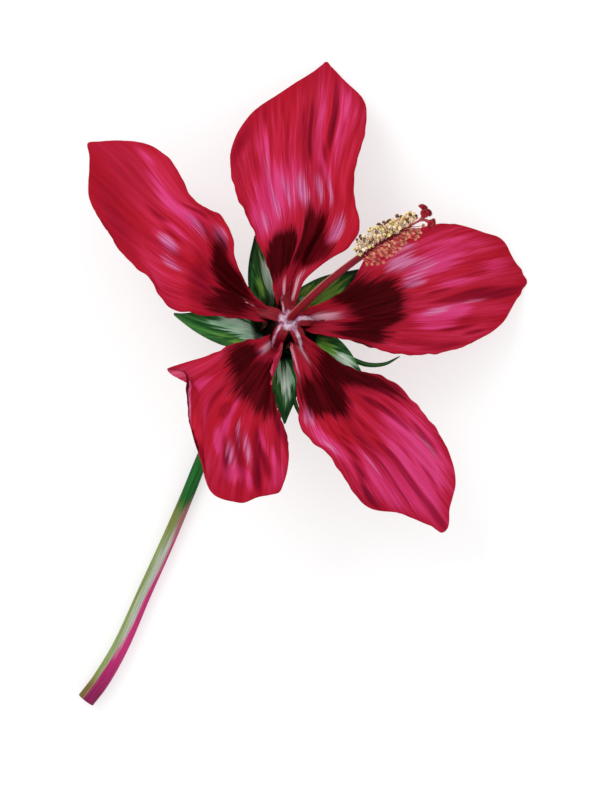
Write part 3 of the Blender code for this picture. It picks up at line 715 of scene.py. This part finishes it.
PETALS["petal_4"] = dict(
    claw=235, shoulders=(4, 10), bow=(1, 4.5), fold=(-0.35, 1, 0.2, 0.6),
    outline=[(-1.6, -7, 34), (-3.9, -13, 39.5), (-4, -19, 43), (-0.9, -28, 46.8), (1, -35, 48.5),
             (0.7, -42.5, 48), (-2.4, -49.3, 45.5), (-12.8, -52.5, 44), (-21, -50.2, 45),
             (-24.2, -41.5, 47), (-27.2, -31, 49), (-28.4, -22, 49.5), (-28.4, -15.5, 47.8),
             (-26, -11.6, 46.6), (-21.5, -9.1, 45), (-15, -6.1, 41.5), (-7, -4.1, 35)],
    # at the left margin, 100 across and 82 along, the deep spot is painted shade under the rolled-down edge,
    # and the lilac spot beside it at 95.5 across is a painted highlight on its ridge
    deep=[(50, 41, 28, 12, 1.2), (20, 49, 24, 14, 1.6), (85, 40, 16, 10, 1.2), (6, 64, 12, 14, 1.2),
          (90, 97, 7, 4, 1.1), (100, 82, 2.5, 14, 1.3)],
    petal_highlight=[(51, 81, 3, 6, 0.8), (46, 71, 1.4, 6, 0.9), (40.5, 79, 2.5, 8, 0.9), (95.5, 82, 1.8, 16, 1.1),
           (76, 20, 9, 10, 1.6)],
    pink=[(53, 60, 2.2, 5), (54, 69, 2.2, 5, 1.3), (58.5, 77, 2.8, 5, 1.4), (30, 77.5, 2, 6, 0.9),
          (24.4, 87, 3, 6, 0.7), (24, 96, 6, 4, 0.9), (42, 92.5, 1.4, 5), (83, 64, 3, 5, 0.9),
          (50, 88.5, 6, 4), (72, 74, 5, 10, 0.5)],
    petal_shade=[(46, 80, 2.2, 10), (54, 83, 1.8, 8, 0.8), (36, 82, 1.4, 8, 0.8), (58, 63, 3, 3.5, 1.3),
          (70, 63, 1.4, 8), (33, 76, 1.8, 6), (37.5, 92, 2, 7, 1.1), (30.5, 87.5, 2, 7, 1.1),
          (20, 60, 14, 6, 0.9), (8, 76, 6, 10), (3, 90, 8, 14, 0.8), (77.5, 94, 5, 4, 1.3),
          (62, 72, 40, 30, 0.38)],
    nudges=[(100, 65, 14, 4.5, (-8.6, -1.7, -3.4)), (38, 100, 5, 6, (0, 0.7, 0)),
            (47.5, 100, 4, 5, (0, -0.5, 0)), (27.5, 100, 3, 4, (0.5, -0.5, 0))],
)
PETALS["petal_5"] = dict(
    claw=155, shoulders=(6, 12), bow=(-1.6, 2.6), fold=(0.5, 3.2, 0.1, 0.62),
    outline=[(-8, 1, 32), (-17, 2.1, 37.5), (-27, 3.2, 41), (-34.6, 5.1, 42), (-39.3, 12.6, 41.5),
             (-47.3, 20.2, 39), (-53, 28.3, 35), (-58.3, 37, 29.5), (-59, 46, 23), (-59, 53.6, 17.6),
             (-57.2, 55.4, 17.2), (-50, 55.6, 20), (-40.5, 54, 24.5), (-33.6, 48.6, 28.5),
             (-29.6, 40.8, 32), (-26.2, 36, 34.5), (-19.2, 32.6, 37.5), (-15.6, 26.5, 38),
             (-14.8, 18.5, 36.5), (-10.3, 9.9, 34), (-5.8, 5.4, 31)],
    deep=[(86, 41, 8, 10, 1.3), (40, 27, 40, 8, 1.2), (90, 30, 14, 7, 1.1), (75, 34, 10, 7, 0.9),
          (15, 34, 16, 7, 0.9)],
    petal_highlight=[(49, 58.5, 5, 4.5, 1.2), (36.5, 56, 3.5, 4.5, 0.9), (78, 56, 3, 6), (90, 48.5, 5, 5),
           (62, 17, 4.5, 8, 1.5), (90, 5, 15, 3)],
    pink=[(78, 62, 6, 9), (80, 75, 5, 10, 0.6), (84, 90, 3, 6, 0.6), (62, 58, 2, 6, 0.8),
          (15, 62, 6, 10, 0.4), (48, 61, 8, 6, 0.4)],
    petal_shade=[(62.5, 64.5, 2, 5, 0.9), (57, 57.5, 2, 5, 0.9), (87.5, 62, 1.8, 6), (81, 54, 1.6, 5),
          (5, 95, 10, 6, 0.6), (50, 86, 50, 20, 0.5), (15, 80, 14, 14, 0.5), (93, 60, 6, 5, 0.5),
          (30, 42, 40, 8, 0.9)],
    nudges=[(60.8, 100, 3.5, 5, (-1, 1, 0.6))],
)


def ease(share):
    """0 up to 0, 1 from 1 on, and a smooth step between."""
    share = min(max(share, 0.0), 1.0)
    return share * share * (3 - 2 * share)


def petal_surface(claw, shoulders, bow, fold, outline, nudges=()):
    """A function that gives the blade's point at a share across, left to right, and a share along."""
    heading = radians(claw)
    left, right = heading + CLAW_HALF_ANGLE, heading - CLAW_HALF_ANGLE
    foot = [on_receptacle(CLAW_RING, left, height) for height in (CLAW_FOOT, CLAW_BEND)]
    heel = [on_receptacle(CLAW_RING, right, height) for height in (CLAW_BEND, CLAW_FOOT)]
    line = smooth_line(foot + [Vector(point) * MM for point in outline] + heel, OUTLINE_STEPS)
    turn_in, turn_out = (OUTLINE_STEPS * (len(foot) + shoulder) for shoulder in shoulders)
    left_side, outer_edge = walk(line[: turn_in + 1]), walk(line[turn_in : turn_out + 1])
    right_side = walk(line[: turn_out - 1 : -1])
    fold_place, fold_depth, fold_from, fold_to = fold

    def between_sides(across, along):
        return left_side(along) * (1 - across) + right_side(along) * across

    def spot(across, along):
        claw_edge = on_receptacle(CLAW_RING, left + (right - left) * across, CLAW_FOOT)
        ends = claw_edge * (1 - along) + outer_edge(across) * along
        corners = between_sides(across, 0) * (1 - along) + between_sides(across, 1) * along
        flat = between_sides(across, along) + ends - corners
        from_middle = 2 * across - 1
        inner = 1 - from_middle**2
        swell = sin(pi * along)
        bowed = (bow[0] * (1 - along) + bow[1] * along) * inner * sin(pi * min(along, BOW_END))
        within = ease((along - fold_from) / FOLD_END) * ease((fold_to - along) / FOLD_END)
        valley = fold_depth * within * exp(-(((from_middle - fold_place) / FOLD_WIDTH) ** 2))
        pleat = PLEAT_DEPTH * along * inner * cos(pi * PLEATS * from_middle)
        wave = sin(tau * RUFFLES * along + 2 * from_middle)
        ruffle = RUFFLE_HEIGHT * from_middle**4 * wave * swell
        groove = VEIN_DEPTH * (abs(sin(pi * VEINS * across)) - 0.6) * inner
        crinkle = CRINKLE_HEIGHT * from_middle**8 * sin(tau * CRINKLES * along + 3 * claw) * swell
        for *nudge, way in nudges:
            flat += Vector(way) * strength_at(across, along, [nudge]) * MM
        waver = sin(NIBBLE_WAVES[0] * along + claw) + 0.7 * sin(NIBBLE_WAVES[1] * along + 2 * claw)
        nibble = NIBBLE * from_middle**9 * swell**0.5 * waver
        flat += (right_side(along) - left_side(along)).normalized() * nibble * MM
        blade = ease((along - CLAW_TO_BLADE[0]) / CLAW_TO_BLADE[1])
        return flat + AXIS * (bowed - valley + pleat + ruffle + groove + crinkle) * blade * MM

    return spot


def colour_run(tone, stops):
    """A run of colours over a tone from 0 to 1."""
    run = wire(tone.tree, "ValToRGB", "Color", {"Fac": tone})
    places = run.socket.node.color_ramp.elements
    for number, (position, colour) in enumerate([stops[0], stops[-1], *stops[1:-1]]):
        place = places[number] if number < 2 else places.new(position)
        place.position, place.color = position, tint(colour)
    return run


petal_face, tree = new_finish("petal_face", 0.55, gloss=0.02)
grain = read_grain(tree)
along = part(grain, 1)
broad = streaks(grain, (6, 1.1, 1))
medium = streaks(grain, (17, 2, 1))
fine = streaks(grain, (46, 4, 1))
brushed = fine * 0.5 + streaks(grain, (120, 7, 1)) * 0.5
pink = ragged("pink", brushed, 0.6, 0.05, 0.85)
# painted shade: dark patches and thin dark streaks
petal_shade = ragged("petal_shade", brushed, 0.7, 0.15, 1)
# painted highlights, lilac and pale pink, with streaked edges
petal_highlight = ragged("petal_highlight", brushed, 1.2, 0.2, 1.2)
tone = broad * 0.24 + medium * 0.3 + brushed * 0.44 + pink * 0.32 - petal_shade * 0.36
flesh = colour_run(tone, [(0, (88, 4, 26)), (0.22, (136, 12, 34)), (0.46, (166, 26, 49)),
                          (0.68, (188, 42, 78)), (0.94, (206, 68, 120))])
warm = rising(streaks(grain, (3.2, 1.4, 5.3)), 0.2, 0.9) * (1 - pink)
flesh = glazed(warm * 0.45, flesh, (184, 22, 34))
flesh = glazed(pink * 0.35, flesh, (200, 50, 116))
margin = sums("MAXIMUM", abs(read_mark(tree, "across") * 2 - 1), along)
flesh = glazed(rising(margin, 0.88, 1) * 0.55, flesh, (156, 12, 32))
# the colour of the painted highlights: pale pink near the claw, mauve and lilac beyond
mauve = glazed(rising(brushed, 0.35, 0.7), (172, 76, 130), (212, 132, 172))
highlight_tint = glazed(rising(along, 0.2, 0.4), (226, 170, 188), mauve)
# the painted highlights, first softly widened, then with their streaked cores
flesh = glazed(rising(read_mark(tree, "petal_highlight"), 0.05, 1.2) * 0.55, flesh, (176, 70, 122))
flesh = glazed(petal_highlight * 0.75, flesh, highlight_tint)
# the painted shade, laid over in dark crimson
flesh = glazed(petal_shade * 0.34, flesh, (108, 8, 36))
# the claw: red streaks with the painted highlights laid over them
claw_red = glazed(petal_highlight * 0.95, glazed(brushed, (96, 4, 16), (186, 40, 58)), highlight_tint)
flesh = glazed(1 - rising(along, 0.14, 0.34), flesh, claw_red)
deep = ragged("deep", medium * 0.3 + brushed * 0.7, 1.7, 0.15, 0.9)
wine = glazed(rising(broad, 0.5, 0.9), (12, 0, 0), (100, 8, 20))
flesh = glazed(deep * 0.97, flesh, glazed(brushed, wine, (74, 3, 9)))
dress(petal_face, flesh, medium * 0.5 + fine * 0.5, depth=0.25 * MM)

petal_back, tree = new_finish("petal_back", 0.6, gloss=0.04)
grain = read_grain(tree)
medium = streaks(grain, (15, 1.6, 1))
fine = streaks(grain, (44, 4, 1))
tone = medium * 0.6 + fine * 0.35
flesh = colour_run(tone, [(0, (120, 14, 44)), (0.45, (176, 36, 66)), (0.95, (206, 92, 124))])
vein = 1 - rising(sums("PINGPONG", read_mark(tree, "across") * VEINS, 0.5), 0, 0.16)
flesh = glazed(vein * 0.5, flesh, (136, 20, 50))
claw_green = glazed(medium, (150, 60, 66), (190, 140, 110))
flesh = glazed(1 - rising(part(grain, 1), 0.05, 0.4), flesh, claw_green)
dress(petal_back, flesh, vein * 0.7 + fine * 0.4, depth=0.3 * MM)

blades, claw_highlights, headings = {}, {}, {}
for number, (name, shape) in enumerate(PETALS.items()):
    marks = {mark: shape.pop(mark) for mark in ("deep", "petal_highlight", "pink", "petal_shade")}
    blades[name], claw_highlights[name] = petal_surface(**shape), marks["petal_highlight"]
    heading = headings[name] = radians(shape["claw"])
    blade_apex = THROAT - Vector((cos(heading), sin(heading), 0)) * APEX_BEHIND
    blade_shape = bmesh.new()
    blade_grain = blade_shape.verts.layers.float_vector.new("grain")
    layers = {mark: blade_shape.verts.layers.float.new(mark) for mark in marks}
    blade_across = blade_shape.verts.layers.float.new("across")
    bmesh.ops.create_grid(blade_shape, x_segments=PETAL_COLUMNS, y_segments=PETAL_ROWS, size=0.5)
    for vert in blade_shape.verts:
        across, along = 0.5 - vert.co.x, vert.co.y + 0.5
        vert.co = blades[name](across, along)
        vert.co.z = max(vert.co.z, PETAL_THICKNESS / 2)
        from_apex = (vert.co - blade_apex).xy
        fan = (atan2(from_apex.y, from_apex.x) - heading + pi) % tau - pi
        follow = STREAK_SPREAD * (0.5 - across)
        streak_way = fan / STREAK_FAN * (1 - STREAK_FOLLOW) + follow * STREAK_FOLLOW
        vert[blade_grain] = (streak_way, along, STREAK_STEP * number)
        vert[blade_across] = across
        for mark, layer in layers.items():
            vert[layer] = strength_at(across, along, marks[mark])
    bmesh.ops.reverse_faces(blade_shape, faces=blade_shape.faces)
    walled(set_down(name + "_blade", blade_shape, [petal_face, petal_back], name), PETAL_THICKNESS)


# ---- Stamen column -----------------------------------------------------------------------
# A bell over the ovary that narrows to a long dark red arching tube, with a pale star on the bell
# and a tongue to each petal's base that carries on the claw's painted highlight streaks. The bell's
# flanks have painted shade, the tube a painted highlight along its upper left side and painted shade
# along its lower right. Its outer half is set with thread-thin cream filaments, most of them on its
# upper side, each with a kidney-shaped anther full of pale pollen; those on the lower side are tinted
# salmon as painted shade.

OVARY_RADIUS = 3.2 * MM
BELL_WALL = 0.8 * MM
BORE_GAP = 0.45 * MM  # round the pistil
BELL_SHAPE = [(0.3, 1), (3, 1.02), (6.5, 1), (10.5, 0.94), (12.2, 0.82), (12.9, 0.4),
              (13.8, 0)]  # height, and share of the flare
STYLE_RADIUS = 0.35 * MM
COLUMN_LENGTH = 54 * MM  # from the throat to its tip
COLUMN_STEPS = 48
COLUMN_END_TILT = radians(74)  # from the vertical, at the tip
COLUMN_END_HEADING = radians(28)
COLUMN_RADIUS = (1.35 * MM, 0.85 * MM)  # at the throat and at the tip
COLUMN_SIDES = 20
PAD_RADIUS = (2.4 * MM, 4.6 * MM)  # of the pale star on the bell, between and at its points
PAD_POINT = 0.26  # half angle of its points
PAD_FROM = 18 * MM  # height where it fades in, down the tube
PAD_FADE = 5 * MM
BELL_SHADE = (2.6 * MM, 16 * MM)  # outside this radius and under this height the bell gets near-black painted shade
TONGUE_ROOT = [(1.2 * MM, 12.4 * MM), (4.4 * MM, 13 * MM)]  # radius and height on the bell
TONGUE_END = [(0.155, 0.45 * MM), (0.215, -0.3 * MM)]  # share along the petal, and over it
TONGUE_WIDTH = (1.5 * MM, 2.1 * MM)  # half of it, at its root and on the bell
TONGUE_FLATNESS = 0.22
TONGUE_ON_CLAW = 0.47  # half its width over the claw, as a share of the claw's
CLAW_PLACE = 0.16  # share along the petal where its claw's width is taken
TONGUE_PALE = 4.2 * MM  # how far the star runs out along a tongue
TONGUE_STREAKS = 0.18  # share along the petal whose painted highlight streaks run on over its tongue
TONGUE_STRENGTH = (1.1, 0.75)  # of the star and of those streaks
STAMENS = 310
STAMENS_FROM = 0.665  # share of the column's length where they start
STAMENS_TO = 0.995
STAMEN_LEAN = (radians(70), radians(44))  # from the column, at the first and at the last
LEAN_SPREAD = (-0.15, 0.15)
FILAMENT_ROOT = 0.8 * MM  # from the column's middle
FILAMENT_LENGTH = 5.9 * MM
LENGTH_SPREAD = 0.6  # by what share the shortest filaments are shorter
FILAMENT_RADIUS = (0.17 * MM, 0.11 * MM)
FILAMENT_BEND = 0.5 * MM
ANTHER_SIZE = Vector((0.64, 0.42, 0.44)) * MM  # half its width, depth and height
ANTHER_SPREAD = (0.85, 1.1)
CROWDED_SIDE = (radians(-75), radians(82))  # round the column, up from its left side
SPARSE_SIDE = (radians(104), radians(262))
CROWDED_SHARE = 0.74  # of all the stamens
LONG_STAMEN = 0.85  # from this share of the full length on, half have burst
BURST_SHARE = (0.5, 0.12)  # of the long and of the other anthers
STAMEN_TINTS_AND_SHADE = {"sparse": (0.72, 1), "burst": (0, 0.15), "fresh": (0.2, 0.7)}  # on the pollen's run; the sparse side's salmon is painted shade


def column_line():
    """The middle of column and style: up the flower's axis, then arching over past the throat."""
    line = [on_receptacle(0, 0, THROAT_HEIGHT)]
    for step in range(COLUMN_STEPS):
        share = (step + 0.5) / COLUMN_STEPS
        lean = AXIS_TILT + (COLUMN_END_TILT - AXIS_TILT) * share**0.5
        heading = AXIS_HEADING + (COLUMN_END_HEADING - AXIS_HEADING) * share
        level = sin(lean)
        way = Vector((level * cos(heading), level * sin(heading), cos(lean)))
        line.append(line[-1] + way * COLUMN_LENGTH / COLUMN_STEPS)
    return line


def standing(place, way):
    """A matrix that stands a piece on a place, its top the given way."""
    return Matrix.Translation(place) @ way.to_track_quat("Z", "Y").to_matrix().to_4x4()


def finish_round(verts, number):
    """Gives all the faces at these vertices the finish of that number."""
    for face in each_once(face for vert in verts for face in vert.link_faces):
        face.material_index = number


arch = column_line()
bell_line = smooth_line([(height * MM, flare, 0) for height, flare in BELL_SHAPE], steps=5)
flare = OVARY_RADIUS + BORE_GAP + BELL_WALL - COLUMN_RADIUS[0]
outside = [on_receptacle(0, 0, knot[0]) for knot in bell_line] + arch[1:]
outside_radii = [COLUMN_RADIUS[0] + flare * max(knot[1], 0) for knot in bell_line]
outside_radii += list(np.linspace(*COLUMN_RADIUS, len(arch))[1:])
inside_radii = [max(radius - BELL_WALL, STYLE_RADIUS + BORE_GAP) for radius in outside_radii]
column_shape = bmesh.new()
column_rings = rings_along(outside, outside_radii) + rings_along(outside, inside_radii)[::-1]
drawn_rod(column_shape, column_rings, COLUMN_SIDES, closed_on_itself=True)
star_and_shade_layer = column_shape.verts.layers.float.new("pad")
column_shape.verts.layers.float.new("stamen_tint_and_shade")
tube_grain = column_shape.verts.layers.float_vector["grain"]
for vert in column_shape.verts:
    local = RECEPTACLE.inverted() @ vert.co
    around = atan2(local.y, local.x)
    turns = [remainder(around - heading, tau) for heading in headings.values()]
    point = max(exp(-((turn / PAD_POINT) ** 2)) for turn in turns)
    reach = PAD_RADIUS[0] + (PAD_RADIUS[1] - PAD_RADIUS[0]) * point
    bell_shade = ease((local.xy.length - BELL_SHADE[0]) / MM) * ease((BELL_SHADE[1] - local.z) / MM)
    # the star, less the painted shade on the bell's flanks
    vert[star_and_shade_layer] = ease(1.5 - local.xy.length / reach) * ease((PAD_FROM - local.z) / PAD_FADE) - bell_shade
for name, blade in blades.items():
    tongue = [on_receptacle(radius, headings[name], height) for radius, height in TONGUE_ROOT]
    tongue = smooth_line(tongue + [blade(0.5, along) + AXIS * over for along, over in TONGUE_END], steps=6)
    across_claw = blade(1, CLAW_PLACE) - blade(0, CLAW_PLACE)
    widest = TONGUE_ON_CLAW * across_claw.length
    widths = (*TONGUE_WIDTH, widest, widest * 0.8)
    widths = np.interp(np.linspace(0, 1, len(tongue)), (0, 0.3, 0.7, 1), widths)
    tongue_rings = rings_along(tongue, widths, AXIS, flat=TONGUE_FLATNESS)
    for vert in drawn_rod(column_shape, tongue_rings, COLUMN_SIDES):
        vert[tube_grain] = (vert[tube_grain].x * 0.4, vert[tube_grain].y, vert[tube_grain].z * 0.3)
        near = min(tongue, key=lambda place: (place - vert.co).length)
        across = 0.5 + (vert.co - near).dot(across_claw) / across_claw.length_squared
        # the claw's painted highlight streaks, carried on over the tongue
        streak = strength_at(across, TONGUE_STREAKS, claw_highlights[name])
        near_root = ease(1 - (vert.co - tongue[0]).length / TONGUE_PALE)
        vert[star_and_shade_layer] = max(TONGUE_STRENGTH[0] * near_root, TONGUE_STRENGTH[1] * streak)

dice = random.Random(11)
along_arch = walk(arch)
stamen_mesh = bpy.data.meshes.new("stamen")
for number in range(STAMENS):
    later = number / STAMENS
    share = STAMENS_FROM + (STAMENS_TO - STAMENS_FROM) * later
    way = (along_arch(share + 0.01) - along_arch(share - 0.01)).normalized()
    left_hand = Vector((0, 0, 1)).cross(way).normalized()
    sparse = dice.random() > CROWDED_SHARE
    turn = dice.uniform(*(SPARSE_SIDE if sparse else CROWDED_SIDE))
    lean = STAMEN_LEAN[0] + (STAMEN_LEAN[1] - STAMEN_LEAN[0]) * later + dice.uniform(*LEAN_SPREAD)
    round_way = left_hand * cos(turn) + way.cross(left_hand) * sin(turn)
    out = way * cos(lean) + round_way * sin(lean)
    root = along_arch(share)
    long = 1 - LENGTH_SPREAD * dice.random() ** 1.3
    towards_ends = (1 - 0.2 * later**3) * (0.6 + 0.4 * min(6 * later, 1))
    reach = FILAMENT_LENGTH * long * towards_ends
    bend = Vector((dice.uniform(-1, 1), dice.uniform(-1, 1), dice.uniform(-1, 1))) * FILAMENT_BEND
    end = root + out * reach
    thread = smooth_line([root + out * FILAMENT_ROOT, root + out * reach * 0.55 + bend, end], 2)
    stamen = bmesh.new()
    stamen.verts.layers.float.new("stamen_tint_and_shade")
    thread_rings = rings_along(thread, np.linspace(*FILAMENT_RADIUS, len(thread)), way)
    finish_round(drawn_rod(stamen, thread_rings, 5), 1)
    anther = bmesh.ops.create_uvsphere(stamen, u_segments=8, v_segments=6, radius=1)["verts"]
    bmesh.ops.scale(stamen, verts=anther, vec=ANTHER_SIZE * dice.uniform(*ANTHER_SPREAD))
    for vert in anther:
        vert.co.z -= 0.5 * vert.co.x**2 / ANTHER_SIZE.x
    turned = Matrix.Rotation(dice.uniform(0, tau), 4, "Z")
    on_thread = standing(root + out * (reach + ANTHER_SIZE.z * 0.6), out)
    bmesh.ops.transform(stamen, matrix=on_thread @ turned, verts=anther)
    finish_round(anther, 2)
    burst = dice.random() < BURST_SHARE[long <= LONG_STAMEN]
    # each stamen's tint; on the sparse side it picks the salmon of painted shade
    stamen_tint_value = dice.uniform(*STAMEN_TINTS_AND_SHADE["sparse" if sparse else "burst" if burst else "fresh"])
    stamen_tint_and_shade = stamen.verts.layers.float["stamen_tint_and_shade"]
    for vert in stamen.verts:
        vert[stamen_tint_and_shade] = stamen_tint_value
    stamen.to_mesh(stamen_mesh)
    stamen.free()
    column_shape.from_mesh(stamen_mesh)
bpy.data.meshes.remove(stamen_mesh)

column_finish, tree = new_finish("column_red", 0.45, gloss=0.15)
grain = read_grain(tree)
side, along = part(grain, 0), part(grain, 2)
fine = streaks(grain, (6, 6, 9))
red = glazed(fine, (88, 4, 18), (158, 22, 40))
# painted shade along the tube's lower right side
red = glazed(rising(side, 0.3, 0.95) * 0.7, red, (76, 6, 16))
red = glazed(rising(along, 0.37, 0.41) * 0.8, red, (96, 10, 30))
# a painted highlight along the tube's upper left side
lit = 1 - rising(side, -0.95, -0.55)
red = glazed(lit * rising(fine, 0.3, 0.6), red, (212, 128, 122))
star_and_shade_mark = read_mark(tree, "pad")
# near-black painted shade on the bell's flanks
red = glazed(rising(star_and_shade_mark, -0.6, -0.1), (30, 14, 12), red)
speckle = clouds(tree, 600, detail=3)
pale = glazed(rising(speckle, 0.35, 0.65), (178, 122, 166), (214, 190, 204))
red = glazed(rising(star_and_shade_mark + (speckle - 0.5) * 0.6, 0.3, 1), red, pale)
dress(column_finish, red, fine, depth=0.1 * MM)

thread_finish, tree = new_finish("filament_cream", 0.5)
cream = [(0, (196, 110, 100)), (0.3, (228, 200, 178)), (1, (238, 230, 206))]
# the sparse side's filaments are tinted salmon as painted shade
shaded = rising(read_mark(tree, "stamen_tint_and_shade"), 0.68, 0.74)
dress(thread_finish, glazed(shaded, colour_run(part(read_grain(tree), 2), cream), (212, 104, 96)))

anther_finish, tree = new_finish("anther_pollen", 0.8)
# pollen by tint: brown burst anthers, yellow and cream fresh ones, and from 0.74 on the salmon of painted
# shade on the sparse side
pollen = colour_run(read_mark(tree, "stamen_tint_and_shade"), [
    (0, (84, 46, 36)), (0.16, (136, 92, 60)), (0.2, (232, 220, 96)), (0.34, (242, 226, 150)),
    (0.4, (242, 192, 142)), (0.55, (250, 218, 170)), (0.68, (252, 238, 208)), (0.74, (214, 124, 92)),
    (0.9, (222, 142, 118)), (1, (150, 70, 54)),
])
pollen = glazed(rising(clouds(tree, 1300), 0.54, 0.66), pollen, (110, 64, 44))
dress(anther_finish, pollen, cells(tree, 4200), depth=0.12 * MM)

set_down("stamen_column_tube", column_shape, [column_finish, thread_finish, anther_finish],
         "stamen_column")


# ---- Pistil ------------------------------------------------------------------------------
# The ovary in the bell, its thread-thin style through the bore of the column, and five short
# branches past the column's end, each tipped with a round velvety red stigma.

OVARY_HEIGHT = 8.5 * MM
OVARY_SHAPE = [(0, 0.72), (0.12, 0.88), (0.35, 1), (0.6, 0.92), (0.82, 0.62), (0.95, 0.28)]  # height, width
STYLE_FROM = 9.8 * MM  # height where the style is round and even
STYLE_SIDES = 14
STYLE_PAST_COLUMN = 3.6 * MM
BRANCHES = 5
BRANCH_LEAN = radians(46)  # from the style
BRANCH_LENGTH = 3.7 * MM
BRANCH_RADIUS = (0.34 * MM, 0.4 * MM)
BRANCH_SIDES = 10
STIGMA_SIZE = Vector((1.2, 1.2, 0.68)) * MM
STIGMA_PAST_BRANCH = 0.35 * MM
PAPILLAE = 70  # the fine bristles of one stigma
PAPILLAE_DOWN = 1.3  # how far down it they grow, in its half heights
PAPILLAE_OUT = 1.05  # how far out their middles stand, to its surface
PAPILLA_RADIUS = (0.11 * MM, 0.05 * MM)
PAPILLA_LENGTH = 0.34 * MM
GOLDEN_ANGLE = pi * (3 - sqrt(5))


def leaning(way, lean, turned):
    """The direction at an angle from a way, turned round it."""
    side = sin(lean)
    out = Vector((side * cos(turned), side * sin(turned), cos(lean)))
    return way.to_track_quat("Z", "Y") @ out


pistil_shape = bmesh.new()
ovary_line = [on_receptacle(0, 0, GAP + OVARY_HEIGHT * height) for height, width in OVARY_SHAPE]
ovary_radii = [OVARY_RADIUS * width for height, width in OVARY_SHAPE]
end_way = (arch[-1] - arch[-2]).normalized()
style_line = [on_receptacle(0, 0, STYLE_FROM), *arch, arch[-1] + end_way * STYLE_PAST_COLUMN]
pistil_radii = ovary_radii + [STYLE_RADIUS] * len(style_line)
drawn_rod(pistil_shape, rings_along(ovary_line + style_line, pistil_radii), STYLE_SIDES)
fork = arch[-1] + end_way * (STYLE_PAST_COLUMN - STYLE_RADIUS)
for number in range(BRANCHES):
    out = leaning(end_way, BRANCH_LEAN, tau * number / BRANCHES)
    knee = fork + (end_way * 0.4 + out * 0.6) * BRANCH_LENGTH * 0.5
    tip = fork + out * BRANCH_LENGTH
    branch = smooth_line([fork, knee, tip], steps=5)
    branch_rings = rings_along(branch, np.linspace(*BRANCH_RADIUS, len(branch)), end_way.orthogonal())
    drawn_rod(pistil_shape, branch_rings, BRANCH_SIDES)
    head = standing(tip + out * STIGMA_PAST_BRANCH, out)
    pad = bmesh.ops.create_uvsphere(pistil_shape, u_segments=20, v_segments=14, radius=1)["verts"]
    bmesh.ops.scale(pistil_shape, verts=pad, vec=STIGMA_SIZE)
    bmesh.ops.transform(pistil_shape, matrix=head, verts=pad)
    finish_round(pad, 1)
    for hair in range(PAPILLAE):
        height = 1 - PAPILLAE_DOWN * (hair + 0.5) / PAPILLAE
        level = sqrt(1 - height**2)
        turn = hair * GOLDEN_ANGLE
        foot = Vector((level * cos(turn), level * sin(turn), height)) * STIGMA_SIZE
        bristle = bmesh.ops.create_cone(pistil_shape, cap_ends=True, segments=4, depth=PAPILLA_LENGTH,
                                        radius1=PAPILLA_RADIUS[0], radius2=PAPILLA_RADIUS[1])["verts"]
        bmesh.ops.transform(pistil_shape, matrix=head @ standing(foot * PAPILLAE_OUT, foot), verts=bristle)
        finish_round(bristle, 1)

style_finish, tree = new_finish("style_red", 0.4)
dress(style_finish, glazed(streaks(read_grain(tree), (2, 2, 40)), (130, 20, 44), (206, 84, 104)))

stigma_finish, tree = new_finish("stigma_velvet", 0.6, gloss=0.15)
patches = clouds(tree, 1500)
velvet = glazed(rising(patches, 0.35, 0.65), (96, 4, 16), (184, 28, 44))
dress(stigma_finish, velvet, patches, depth=0.1 * MM)

set_down("pistil_stigmas", pistil_shape, [style_finish, stigma_finish], "pistil")
